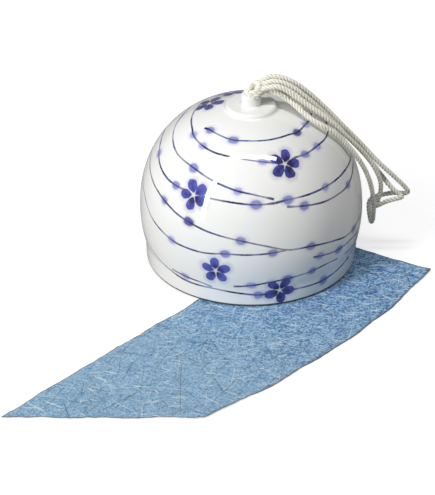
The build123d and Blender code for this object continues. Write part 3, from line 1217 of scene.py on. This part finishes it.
@dataclass
class PorcelainBell:
    """The painted bell: its outline turned about the axis, and the painting laid on it."""

    form: BellForm = field(default_factory=BellForm)
    glaze: ClearGlaze = field(default_factory=ClearGlaze)
    cobalt: Cobalt = field(default_factory=Cobalt)
    around: int = 288
    paint_step: float = 0.72
    hollow_step: float = 2.2

    def build(self) -> bpy.types.Object:
        """Turns the shell, paints it and glazes it.

        Returns:
            The bell's object, which stands for its CAD node.
        """
        outline = self.form.outside(self.paint_step) + self.form.crown() + self.form.inside(self.hollow_step)
        bm = bmesh.new()
        corners = [bm.verts.new((out * MM, 0.0, up * MM)) for out, up in outline]
        edges = [bm.edges.new(pair) for pair in zip(corners, corners[1:] + corners[:1])]
        bmesh.ops.spin(bm, geom=corners + edges, axis=(0, 0, 1), cent=(0, 0, 0), angle=math.tau,
                       steps=self.around, use_merge=True)
        bmesh.ops.recalc_face_normals(bm, faces=bm.faces)
        mesh = from_bmesh("bell_shell", bm)
        painting = Painting(self.form)
        layers = painting.lay(mesh)
        piece = new_piece("painted_bell", mesh, self._dress(layers))
        stands_for(piece, "porcelain_bell", "bell")
        log.info("painting: %d layers of lines", layers)
        return piece

    def _dress(self, layers: int) -> bpy.types.Material:
        """The glaze with the painting under it.

        Args:
            layers: how many layers of lines the mesh stores.

        Returns:
            The material.
        """
        recipe = Recipe("painted_porcelain")
        colour = self.glaze.colour(recipe)
        laid = [self.cobalt.dots(recipe, layer) for layer in range(Painting.bud_layers)]
        laid += [self.cobalt.lines(recipe, layers), self.cobalt.blossoms(recipe)]
        for amount, ink in laid:
            colour = recipe.mixed(amount, colour, ink)
        foot_shadow_and_grime = self.glaze.foot_shadow_and_grime(recipe, self.form.rim_radius)
        # painted contact shadow, with a little grime: a near-black line round the outer edge of the foot
        colour = recipe.mixed(foot_shadow_and_grime * 0.95, colour, self.glaze.foot_line)
        return self.glaze.finish(recipe, colour, self.glaze.foot(recipe) * (1.0 - foot_shadow_and_grime))


@dataclass
class Yarn:
    """A twisted cord laid along a route: plies that wind round its NURBS line.

    Its slack is the share of its thickness that it loses in the middle, where it is pulled tight.
    """

    name: str
    route: Sequence[Point]
    diameter: float
    material: bpy.types.Material
    plies: int = 3
    lay_length: float = 3.3
    step: float = 0.22
    sides: int = 2
    swell: float = 0.05
    fullness: float = 1.08
    plumpness: float = 1.08
    slack: float = 0.0

    def centre_line(self) -> List[Vector]:
        """Reads the route's NURBS line.

        Returns:
            Evenly spaced points, in millimetres.
        """
        curve = bpy.data.curves.new(self.name + "_line", "CURVE")
        curve.dimensions = "3D"
        curve.resolution_u = 24
        spline = curve.splines.new("NURBS")
        spline.points.add(len(self.route) - 1)
        for point, place in zip(spline.points, self.route):
            point.co = (*(v * MM for v in place), 1.0)
        spline.order_u = 3
        spline.use_endpoint_u = True
        carrier = bpy.data.objects.new(self.name + "_line", curve)
        mesh = bpy.data.meshes.new_from_object(carrier)
        raw = [v.co / MM for v in mesh.vertices]
        bpy.data.batch_remove([carrier, curve, mesh])
        return self._even(raw)

    def _even(self, raw: List[Vector]) -> List[Vector]:
        """Shares a line out in equal steps.

        Args:
            raw: its points.

        Returns:
            The new points.
        """
        lengths = [0.0]
        for a, b in zip(raw, raw[1:]):
            lengths.append(lengths[-1] + (b - a).length)
        count = max(8, round(lengths[-1] / self.step))
        even, index = [], 0
        for i in range(count + 1):
            goal = lengths[-1] * i / count
            while index < len(raw) - 2 and lengths[index + 1] < goal:
                index += 1
            run = lengths[index + 1] - lengths[index]
            share = (goal - lengths[index]) / run if run > 0 else 0.0
            even.append(raw[index].lerp(raw[index + 1], share))
        return even

    @staticmethod
    def _frames(line: List[Vector]) -> List[Tuple[Vector, Vector]]:
        """Two directions square to the line at each point, which don't spin about it.

        Args:
            line: its points.

        Returns:
            The two directions at each.
        """
        frames = []
        side = Vector((0.13, 0.97, 0.21))
        for i in range(len(line)):
            heading = (line[min(i + 1, len(line) - 1)] - line[max(i - 1, 0)]).normalized()
            side = (side - heading * side.dot(heading)).normalized()
            frames.append((side, heading.cross(side)))
        return frames

    def _uneven(self, *place: float) -> float:
        """A factor near 1 that swells and shrinks from place to place."""
        return 1.0 + self.swell * noise.noise(Vector(place))

    def build(self) -> Tuple[bpy.types.Object, List[Vector]]:
        """Lays the plies.

        Returns:
            The piece, and its centreline in metres.
        """
        line = self.centre_line()
        frames = self._frames(line)
        ply = self.diameter * self.plumpness / 2 / (1 + 1 / math.sin(math.pi / self.plies))
        centre = self.diameter * self.plumpness / 2 - ply
        length = self.step * (len(line) - 1)
        curve = bpy.data.curves.new(self.name + "_plies", "CURVE")
        curve.dimensions = "3D"
        curve.bevel_depth = ply * self.fullness * MM
        curve.bevel_resolution = self.sides
        curve.use_fill_caps = True
        for number in range(self.plies):
            spline = curve.splines.new("POLY")
            spline.points.add(len(line) - 1)
            for i, (point, (side, up)) in enumerate(zip(line, frames)):
                turn = math.tau * (i * self.step / self.lay_length + number / self.plies)
                pulled = 1.0 - self.slack * math.sin(math.pi * i / (len(line) - 1)) ** 2
                loose = pulled * self._uneven(i * 0.11, number * 7.3, len(self.name) * 1.7)
                place = point + (side * math.cos(turn) + up * math.sin(turn)) * centre * loose
                spline.points[i].co = (*(place * MM), 1.0)
                spline.points[i].radius = pulled * self._uneven(i * 0.23, number * 3.1, 4.2)
        carrier = bpy.data.objects.new(self.name + "_plies", curve)
        mesh = bpy.data.meshes.new_from_object(carrier)
        bpy.data.objects.remove(carrier)
        bpy.data.curves.remove(curve)
        self._scale_map(mesh, length)
        self._store_depth(mesh, line, centre, centre + ply * self.fullness)
        mesh.name = self.name
        return new_piece(self.name, mesh, self.material), [p * MM for p in line]

    @staticmethod
    def _store_depth(mesh: bpy.types.Mesh, line: List[Vector], inner: float, outer: float) -> None:
        """Stores how far out each point of the plies lies, from 0 in the grooves to 1 on the crests.

        Args:
            mesh: the plies.
            line: the cord's centre line.
            inner: how far from it the grooves are.
            outer: how far from it the crests are.
        """
        tree = kdtree.KDTree(len(line))
        for index, point in enumerate(line):
            tree.insert(point, index)
        tree.balance()
        gaps = np.array([tree.find(v.co / MM)[2] for v in mesh.vertices])
        store(mesh, "crest", np.clip((gaps - inner) / (outer - inner), 0.0, 1.0))

    @staticmethod
    def _scale_map(mesh: bpy.types.Mesh, length: float) -> None:
        """Makes the map's height millimetres along the yarn.

        Args:
            mesh: the plies.
            length: the cord's, in millimetres.
        """
        layer = mesh.uv_layers["UVMap"]
        values = np.empty(len(layer.data) * 2, dtype=np.float32)
        layer.data.foreach_get("uv", values)
        values = values.reshape(-1, 2)
        values[:, 1] *= length
        layer.data.foreach_set("uv", values.ravel())


@dataclass
class KnotForm:
    """A tight knot: wraps of the cord that lie on each other, and one turn that crosses them.

    The crossing's places are an angle past the last wrap, and shares of the knot's radius and half height.
    """

    name: str
    node: str
    body: str
    centre: Point
    radius: float
    height: float
    diameter: float
    turns: float
    lean: Place
    bearing: float
    start: Point
    end: Point
    lay: float = 2.05
    points_each_turn: int = 9
    narrowing: float = 0.16
    tilt: float = 0.28
    tilt_from: float = 1.1
    crossing: Sequence[Point] = ((0.9, 0.62, 1.12), (2.2, 0.35, 1.25), (3.3, 0.80, 0.95), (3.6, 1.06, 0.05),
                                 (3.9, 0.70, -0.80), (4.6, 0.30, -0.55), (5.6, 0.22, 0.35))

    def route(self) -> List[Vector]:
        """The cord's way through the knot, from its start to its end.

        Returns:
            The points, in millimetres.
        """
        turn = Matrix.Rotation(self.lean[1], 3, "Y") @ Matrix.Rotation(self.lean[0], 3, "X")
        reach = self.radius - self.diameter / 2
        rise = (self.height - self.diameter) / 2
        last = self.bearing + math.tau * self.turns
        steps = round(self.turns * self.points_each_turn)
        places = []
        for i in range(steps + 1):
            share = i / steps
            angle = self.bearing + math.tau * self.turns * share
            out = reach * (1.0 - self.narrowing * (2 * share - 1) ** 2)
            tilt = self.tilt * self.diameter * math.sin(angle + self.tilt_from)
            places.append((angle, out, rise * (2 * share - 1) + tilt))
        places += [(last + angle, reach * out, rise * up) for angle, out, up in self.crossing]
        inner = [Vector(self.centre) + turn @ Vector((out * math.cos(angle), out * math.sin(angle), up))
                 for angle, out, up in places]
        return [Vector(self.start), *inner, Vector(self.end)]

    def build(self, material: bpy.types.Material) -> bpy.types.Object:
        """Ties the knot, which stands for its CAD node and rides on its body.

        Args:
            material: the cord's.

        Returns:
            The piece.
        """
        route = [tuple(p) for p in self.route()]
        lay = self.diameter * self.lay
        piece, _ = Yarn(self.name, route, self.diameter, material, lay_length=lay, step=0.16).build()
        stands_for(piece, self.node, self.body)
        return piece


TIE: Place = (25.443, -10.435)


@dataclass
class Cords:
    """The free cords and the cords and knots that carry the clapper."""

    thick: float = 1.6
    thin: float = 1.0
    outer_route: Sequence[Point] = (
        (1.5, 0.6, 58.0), (3.3, 1.2, 60.8), (7.0, 1.8, 61.7), (12.2, 2.0, 60.0), (17.3, 2.2, 56.0),
        (23.2, 2.0, 50.1), (28.9, 1.3, 43.95), (34.2, 0.6, 38.5), (39.2, 0.4, 32.4), (44.2, 0.7, 27.3),
        (47.6, 1.0, 23.6), (49.9, 1.5, 20.4), (48.0, 2.2, 19.6), (45.1, 1.9, 20.1), (41.2, 1.8, 19.4),
        (38.4, 1.9, 18.5), (37.1, 2.0, 16.7), (37.25, 1.5, 13.9), (37.7, 0.6, 11.2), (38.1, -0.9, 10.7),
        (38.5, -2.1, 13.4), (38.5, -2.8, 18.2), (38.0, -2.9, 23.4), (36.5, -2.9, 28.9),
        (33.9, -3.2, 34.4), (30.6, -3.5, 39.2), (27.4, -3.9, 43.4), (24.3, -4.7, 46.5), (20.6, -5.2, 48.8),
        (16.5, -3.6, 50.9), (12.6, -1.6, 54.3), (7.9, -0.2, 57.0), (2.2, 1.0, 58.2))
    inner_route: Sequence[Point] = (
        (1.6, -0.2, 58.0), (3.9, 0.0, 59.9), (7.6, 0.3, 60.7), (11.9, 0.1, 59.3), (16.9, 0.0, 55.2),
        (21.9, 0.0, 50.3), (26.9, 0.2, 44.6), (32.0, 1.5, 38.2), (36.3, 2.8, 32.6), (40.2, 2.5, 27.3),
        (42.8, 0.9, 24.1), (45.2, -0.2, 21.8), (47.5, -0.4, 20.3), (47.3, -2.2, 20.7),
        (44.6, -2.3, 20.1), (41.9, -1.9, 18.9), (39.7, -1.5, 17.3), (39.1, -0.6, 16.8),
        (40.1, -0.5, 19.4), (40.8, -0.4, 22.4), (40.6, -0.3, 25.6), (39.2, -0.4, 29.4),
        (36.4, -0.4, 34.2), (32.6, -1.0, 38.9), (28.1, -1.8, 43.9), (22.8, -2.2, 49.6),
        (17.5, -1.9, 53.4), (13.5, -1.7, 56.5), (10.1, -1.6, 59.0), (7.0, -1.6, 60.0),
        (2.4, -1.4, 58.4))
    tail_route: Sequence[Point] = (
        (2.4, 0.3, 57.4), (7.2, 1.1, 56.7), (11.4, 1.0, 55.3), (15.7, 0.2, 53.2), (20.2, -0.5, 49.7))
    bore_route: Sequence[Point] = ((0, 0, 47.0), (0.03, 0, 50.0), (-0.03, 0.02, 54.0), (0, 0, 58.9))
    clapper_route: Sequence[Point] = (
        (0, 0, 45.7), (0, 0, 40.0), (0.0, 0.0, 30.0), (0, 0, 15.0), (0, 0, 5.9))
    strip_route: Sequence[Point] = (
        (0.0, 0.0, 4.1), (0.5, -0.3, 3.2), (2.2, -2.2, 3.2), (3.6, -5.4, 3.3), (7.2, -5.8, 3.3),
        (8.4, -1.2, 3.3), (11.4, 0.6, 3.4), (13.2, -3.4, 3.6), (12.6, -8.8, 3.7), (16.0, -10.6, 3.7),
        (18.0, -6.6, 3.7), (18.8, -2.6, 3.6), (21.4, -2.6, 3.2), (23.4, -6.2, 2.3), (25.0, -10.0, 1.2))
    tie: Place = TIE
    tied_share: float = 0.07
    cord_lay: float = 2.15
    loop_slack: float = 0.13

    def build(self) -> None:
        """Makes every cord and knot, from the crown down to the strip's tie."""
        yarn = Cotton("cotton_yarn").material()
        thin = Cotton("thin_cotton_yarn", pale=(0.90, 0.89, 0.84), worn=(0.80, 0.78, 0.70)).material()
        tail, _ = self._piece("loose_tail", self.tail_route, yarn, "cord_tail", "bell")
        knot = KnotForm("knot_on_neck", "crown_knot", "bell", (1.1, 0.0, 57.6), 3.45, 4.0, 1.65, turns=2.4,
                        lean=(0.10, -0.30), bearing=-1.9, start=(0.0, 0.0, 56.4),
                        end=(3.6, 0.9, 59.2)).build(yarn)
        outer, line = self._piece("outer_loop", self.outer_route, yarn, "hanging_loop_outer", "bell")
        self._declare(outer, line, self.thick, "object", "hanging", [tail, knot])
        inner, line = self._piece("inner_loop", self.inner_route, yarn, "hanging_loop_inner", "bell")
        self._declare(inner, line, self.thick, "object", "hanging", [])
        self._piece("cord_in_bore", self.bore_route, yarn, "crown_cord", "bell")
        KnotForm("knot_under_crown", "stopper_knot", "bell", (0.0, 0.0, 47.2), 2.7, 3.5, 1.5, turns=2.3,
                 lean=(0.15, 0.1), bearing=0.7, start=(0.0, 0.0, 48.7), end=(0.3, 0.5, 45.6)).build(yarn)
        self._piece("clapper_line", self.clapper_route, yarn, "clapper_cord", "clapper_line")
        KnotForm("knot_under_bead", "clapper_knot", "clapper_line", (0.0, 0.0, 5.9), 2.0, 3.0, 1.3,
                 turns=2.2, lean=(0.12, -0.1), bearing=0.3, start=(0.0, 0.0, 7.2),
                 end=(0.0, 0.0, 4.6)).build(yarn)
        self._strip_cord(thin)
        x, y = self.tie
        KnotForm("knot_on_strip", "strip_knot", "bell", (x, y, 1.15), 1.8, 2.1, 1.0, turns=2.1,
                 lean=(0.1, 0.1), bearing=2.2, start=(x, y, 0.45), end=(x - 0.9, y + 0.9, 1.5)).build(thin)

    def _piece(self, name: str, route: Sequence[Point], material: bpy.types.Material, node: str,
               body: str) -> Tuple[bpy.types.Object, List[Vector]]:
        """One thick twisted cord that stands for a CAD node and rides on a body.

        Args:
            name: the piece's name.
            route: its control points in millimetres.
            material: its finish.
            node: the CAD node.
            body: the body that it rides on.

        Returns:
            The piece, and its centreline in metres.
        """
        slack = self.loop_slack if name.endswith("loop") else 0.0
        lay = self.thick * self.cord_lay
        yarn = Yarn(name, route, self.thick, material, lay_length=lay, slack=slack)
        piece, line = yarn.build()
        stands_for(piece, node, body)
        return piece, line

    @staticmethod
    def _declare(piece: bpy.types.Object, line: List[Vector], diameter: float, far_end: str, lay: str,
                 with_pieces: List[bpy.types.Object]) -> None:
        """Says that a piece is a free cord of the length that its line has.

        Args:
            piece: the cord; not used.
            line: its centre line, in metres.
            diameter: its thickness in millimetres.
            far_end: what holds its far end; not used.
            lay: how it lies; not used.
            with_pieces: the pieces that belong to it; not used.
        """
        length = sum((b - a).length for a, b in zip(line, line[1:]))
        diameter * MM

    def _strip_cord(self, material: bpy.types.Material) -> None:
        """The thin cord that goes in folds from the clapper's knot to the strip's tie.

        It lies between the tie and the knot, and above the paper, so that it stays whole, inside the bell
        and off the paper when the clapper swings either way.

        Args:
            material: the thin cord's.
        """
        yarn = Yarn("slack_strip_cord", self.strip_route, self.thin, material, lay_length=2.1, step=0.2)
        piece, line = yarn.build()
        stands_for(piece, "strip_cord")
        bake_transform(piece)
        self._declare(piece, line, self.thin, "knot", "loose", [])


@dataclass
class PaperStrip:
    """The strip of washi that lies under the bell, flat there and a little wavy beyond.

    Its right edge bulges through shares of the length and the width. Each row of fray is how far an edge
    strays in millimetres, the rate of its noise, and the noise's row.
    """

    angle: float = 48.6
    length: float = 136.4
    width: float = 47.0
    thickness: float = 0.2
    top: float = -0.05
    hole_radius: float = 1.5
    hole_inset: float = 11.0
    hole_across: float = 19.0
    tie: Place = TIE
    right_shares: Sequence[Place] = (
        (-0.061, 0.923), (0.136, 1.015), (0.343, 1.040), (0.534, 1.015), (0.719, 0.926))
    rows: int = 150
    columns: int = 56
    flat_area: float = 0.00567
    wave: float = 0.7
    crease: float = 0.22
    corner_curl: float = 0.6
    curl_reach: float = 9.0
    turn_limit: int = 30
    flat_reach: float = 36.5
    rise_reach: float = 26.0
    fray_reach: float = 1.5
    fray: Sequence[Point] = ((0.55, 0.09, 1.0), (0.22, 0.4, 1.0), (0.10, 1.9, 5.0))

    def place(self, along: float, across: float) -> Place:
        """A place on the strip.

        Args:
            along: millimetres from its far end.
            across: millimetres from its left edge.

        Returns:
            The place in the row's frame, in millimetres.
        """
        angle = math.radians(self.angle)
        t, n = self.hole_inset - along, across - self.hole_across
        x = self.tie[0] + t * math.cos(angle) + n * math.sin(angle)
        return x, self.tie[1] + t * math.sin(angle) - n * math.cos(angle)

    def _right_edge(self) -> List[Place]:
        """The bulging right edge from the far end to the near one, evenly shared.

        Returns:
            Places along and across the strip.
        """
        run = smooth_run(self.right_shares, 40)
        points = [(a * self.length, n * self.width) for a, n in run]
        lengths = np.concatenate([[0.0], np.cumsum([math.dist(a, b) for a, b in zip(points, points[1:])])])
        goals = np.linspace(0.0, lengths[-1], self.rows + 1)
        along = np.interp(goals, lengths, [p[0] for p in points])
        across = np.interp(goals, lengths, [p[1] for p in points])
        return list(zip(along, across))

    def _lift(self, x: float, y: float) -> float:
        """How far the paper lifts at a place, nothing wherever the bell may stand as it turns.

        Args:
            x: the place's first number, in millimetres.
            y: its second number.

        Returns:
            The lift, in millimetres.
        """
        nearest = math.inf
        for turn in range(-self.turn_limit, self.turn_limit + 1, 6):
            angle = math.radians(turn)
            dx, dy = x - self.tie[0], y - self.tie[1]
            rx = self.tie[0] + dx * math.cos(angle) - dy * math.sin(angle)
            ry = self.tie[1] + dx * math.sin(angle) + dy * math.cos(angle)
            nearest = min(nearest, math.hypot(rx, ry))
        free = min(1.0, max(0.0, (nearest - self.flat_reach) / self.rise_reach))
        free = free * free * (3 - 2 * free)
        swell = 0.5 + 0.5 * ripple(x, y, 0.045, 3.0)
        crease = self.crease * (0.5 + 0.5 * ripple(x, y, 0.19, 9.0))
        corner = self.place(self.right_shares[0][0] * self.length, self.right_shares[0][1] * self.width)
        curl = max(0.0, 1.0 - math.dist((x, y), corner) / self.curl_reach) ** 1.5 * self.corner_curl
        return free * (self.wave * max(0.0, swell * 1.25 - 0.25) + crease + curl)

    def build(self) -> bpy.types.Object:
        """Lays out the sheet, cuts its tie hole and gives it its thickness.

        Returns:
            The strip's object, which stands for its CAD node.
        """
        bm = bmesh.new()
        bmesh.ops.create_grid(bm, x_segments=self.rows, y_segments=self.columns, size=0.5)
        edge = self._right_edge()
        insets = {}
        bm.verts.index_update()
        for vert in bm.verts:
            share, across = vert.co.x + 0.5, vert.co.y + 0.5
            right = edge[min(self.rows, round(share * self.rows))]
            a = (1 - across) * share * self.length + across * right[0]
            n = across * right[1]
            inset = min(min(share, 1 - share) * self.length, min(across, 1 - across) * self.width)
            fray = sum(size * ripple(a, n, rate, row) for size, rate, row in self.fray)
            rim = max(0.0, 1.0 - inset / self.fray_reach)
            x, y = self.place(a + fray * rim, n + fray * rim)
            vert.co = (x * MM, y * MM, self.top * MM)
            insets[vert.index] = inset
        layer = bm.verts.layers.float.new("inset")
        for vert in bm.verts:
            vert[layer] = insets[vert.index]
        self._cut_hole(bm)
        for vert in bm.verts:
            vert.co.z += self._lift(vert.co.x / MM, vert.co.y / MM) * MM
        bmesh.ops.recalc_face_normals(bm, faces=bm.faces)
        if sum(f.normal.z for f in bm.faces) < 0:
            bmesh.ops.reverse_faces(bm, faces=bm.faces)
        mesh = from_bmesh("strip_sheet", bm)
        piece = new_piece("washi_strip", mesh, Washi().material())
        solid = piece.modifiers.new("thickness", "SOLIDIFY")
        solid.thickness = self.thickness * MM
        solid.offset = -1.0
        stands_for(piece, "paper_strip", "strip")
        return piece

    def _cut_hole(self, bm: bmesh.types.BMesh) -> None:
        """Opens the round hole that the strip is tied by.

        Args:
            bm: the sheet.
        """
        x, y = self.tie[0] * MM, self.tie[1] * MM
        radius = self.hole_radius * MM
        inside = [f for f in bm.faces if math.dist(f.calc_center_median()[:2], (x, y)) < radius]
        bmesh.ops.delete(bm, geom=inside, context="FACES")
        for vert in bm.verts:
            away = math.dist(vert.co[:2], (x, y))
            if vert.is_boundary and away < radius * 2:
                share = radius / max(away, 1e-9)
                vert.co.x = x + (vert.co.x - x) * share
                vert.co.y = y + (vert.co.y - y) * share


# ---------------------------------------------------------------- studio


@dataclass
class Lamp:
    """An area lamp that looks at the bell.

    Its size is its width and height in metres, its power is in watts. The azimuth is degrees round from the
    viewer to the right, the elevation degrees up, the distance metres. Its long side stands if it is
    upright, or else lies from left to right.
    """

    name: str
    size: Place
    power: float
    azimuth: float
    elevation: float
    distance: float
    upright: bool
    aim: Point = (0.0, 0.0, 0.03)

    def build(self) -> None:
        """Hangs the lamp."""
        data = bpy.data.lights.new(self.name, "AREA")
        data.shape = "RECTANGLE"
        data.size, data.size_y = self.size
        data.energy = self.power
        lamp = bpy.data.objects.new(self.name, data)
        a, e = math.radians(self.azimuth), math.radians(self.elevation)
        away = Vector((math.sin(a) * math.cos(e), -math.cos(a) * math.cos(e), math.sin(e)))
        lamp.location = Vector(self.aim) + away * self.distance
        right = Vector((0, 0, 1)).cross(away).normalized() if self.upright else Vector((1, 0, 0))
        up = away.cross(right).normalized()
        right = up.cross(away).normalized()
        lamp.rotation_euler = Matrix((right, up, away)).transposed().to_euler()
        bpy.context.scene.collection.objects.link(lamp)


@dataclass
class View:
    """The camera that was fitted to the photograph, in degrees and metres, and pixels of its frame.

    It aims at a point of the bell's axis, which falls on the pixel aim_at.
    """

    elevation: float = 30.35
    distance: float = 0.780
    aim_height: float = 0.020
    pixels_per_mm: float = 3.178
    columns: int = 435
    rows: int = 495
    aim_at: Place = (251.12, 195.76)
    sensor: float = 36.0

    def build(self) -> None:
        """Places the camera and makes it the scene's own."""
        elevation = math.radians(self.elevation)
        data = bpy.data.cameras.new("view")
        data.sensor_width = self.sensor
        data.lens = self.pixels_per_mm * self.distance / MM / self.rows * self.sensor
        data.shift_x = (self.columns / 2 - self.aim_at[0]) / self.rows
        data.shift_y = (self.aim_at[1] - self.rows / 2) / self.rows
        data.clip_start, data.clip_end = 0.02, 20.0
        camera = bpy.data.objects.new("view", data)
        rise = self.aim_height + self.distance * math.sin(elevation)
        camera.location = (0.0, -self.distance * math.cos(elevation), rise)
        camera.rotation_euler = (math.pi / 2 - elevation, 0.0, 0.0)
        bpy.context.scene.collection.objects.link(camera)
        bpy.context.scene.camera = camera


@dataclass
class Studio:
    """The white floor, the tall and the top lamp that the glaze mirrors, the fill and the camera."""

    floor_height: float = -0.27
    floor_size: float = 6.0
    floor_lit: Colour = (0.45, 0.45, 0.45)
    floor_seen: Colour = (0.46, 0.46, 0.46)
    floor_glow: Colour = (0.69, 0.69, 0.69)
    fill: float = 0.158
    mirrored: float = 0.31
    lamps: Sequence[Lamp] = (
        Lamp("tall_lamp", (0.074, 1.12), 9.4, -49.0, 27.0, 1.05, True),
        Lamp("top_lamp", (0.76, 0.078), 4.9, 9.0, 79.0, 1.02, False))

    def build(self) -> None:
        """Sets up the floor, the lights, the world and the camera."""
        self._floor()
        for lamp in self.lamps:
            lamp.build()
        self._world()
        View().build()
        bpy.context.scene.view_settings.view_transform = "Standard"

    def _floor(self) -> None:
        """A pale floor that shows white and keeps the object's shadow."""
        bm = bmesh.new()
        bmesh.ops.create_grid(bm, x_segments=1, y_segments=1, size=self.floor_size)
        bmesh.ops.translate(bm, verts=bm.verts, vec=(0, 0, self.floor_height * MM))
        recipe = Recipe("white_floor")
        seen = recipe.seen()
        recipe.feed({
            "Base Color": recipe.mixed(seen, self.floor_lit, self.floor_seen),
            "Roughness": 1.0,
            "Specular IOR Level": 0.0,
            "Emission Color": recipe.mixed(seen, (0.0, 0.0, 0.0), self.floor_glow),
            "Emission Strength": 1.0,
        })
        new_piece("floor", from_bmesh("floor", bm), recipe.material)

    def _world(self) -> None:
        """Soft light from everywhere, seen as white by the camera and darker in the glaze."""
        world = bpy.data.worlds.new("studio")
        world.use_nodes = True
        nodes = Nodes(world.node_tree)
        light = nodes.tone("LightPath", {}, "Is Glossy Ray") * (self.mirrored - self.fill) + self.fill
        strength = nodes.most(nodes.seen(), light)
        background = nodes.tone("Background", {"Color": (1.0, 1.0, 1.0, 1.0), "Strength": strength})
        nodes.add("OutputWorld", {"Surface": background})
        bpy.context.scene.world = world


@dataclass
class Bead:
    """The clapper's porcelain bead, which keeps its CAD shape."""

    node: bpy.types.Object
    glaze: ClearGlaze = field(default_factory=lambda: ClearGlaze(white=(0.85, 0.85, 0.825)))
    band: Colour = (0.06, 0.08, 0.38)
    band_height: float = 14.5
    band_half_width: float = 0.55

    def build(self) -> None:
        """Gives the bead its glaze with one cobalt band."""
        recipe = Recipe("bead_glaze")
        place = recipe.place()
        wobble = (recipe.grain(place, 300.0, 2.0) - 0.5) * 0.5
        band = self.band_half_width - abs(recipe.parts_of(place)[2] / MM - self.band_height + wobble)
        amount = recipe.soft_step(band, -0.08, 0.1) * 0.85
        colour = recipe.mixed(amount, self.glaze.colour(recipe), self.band)
        self.node.data.materials.clear()
        self.node.data.materials.append(self.glaze.finish(recipe, colour, 0.0))


def main(frame: Dict[str, object]) -> None:
    """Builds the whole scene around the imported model.
    """
    for part in (Studio(), Cords(), PorcelainBell(), PaperStrip(), Bead(frame["nodes"]["clapper_bead"])):
        part.build()
        log.info("%s is built", type(part).__name__)


if __name__ == "__main__":
    logging.basicConfig(level=logging.INFO, format="%(name)s: %(message)s")
    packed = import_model()
    main(packed)
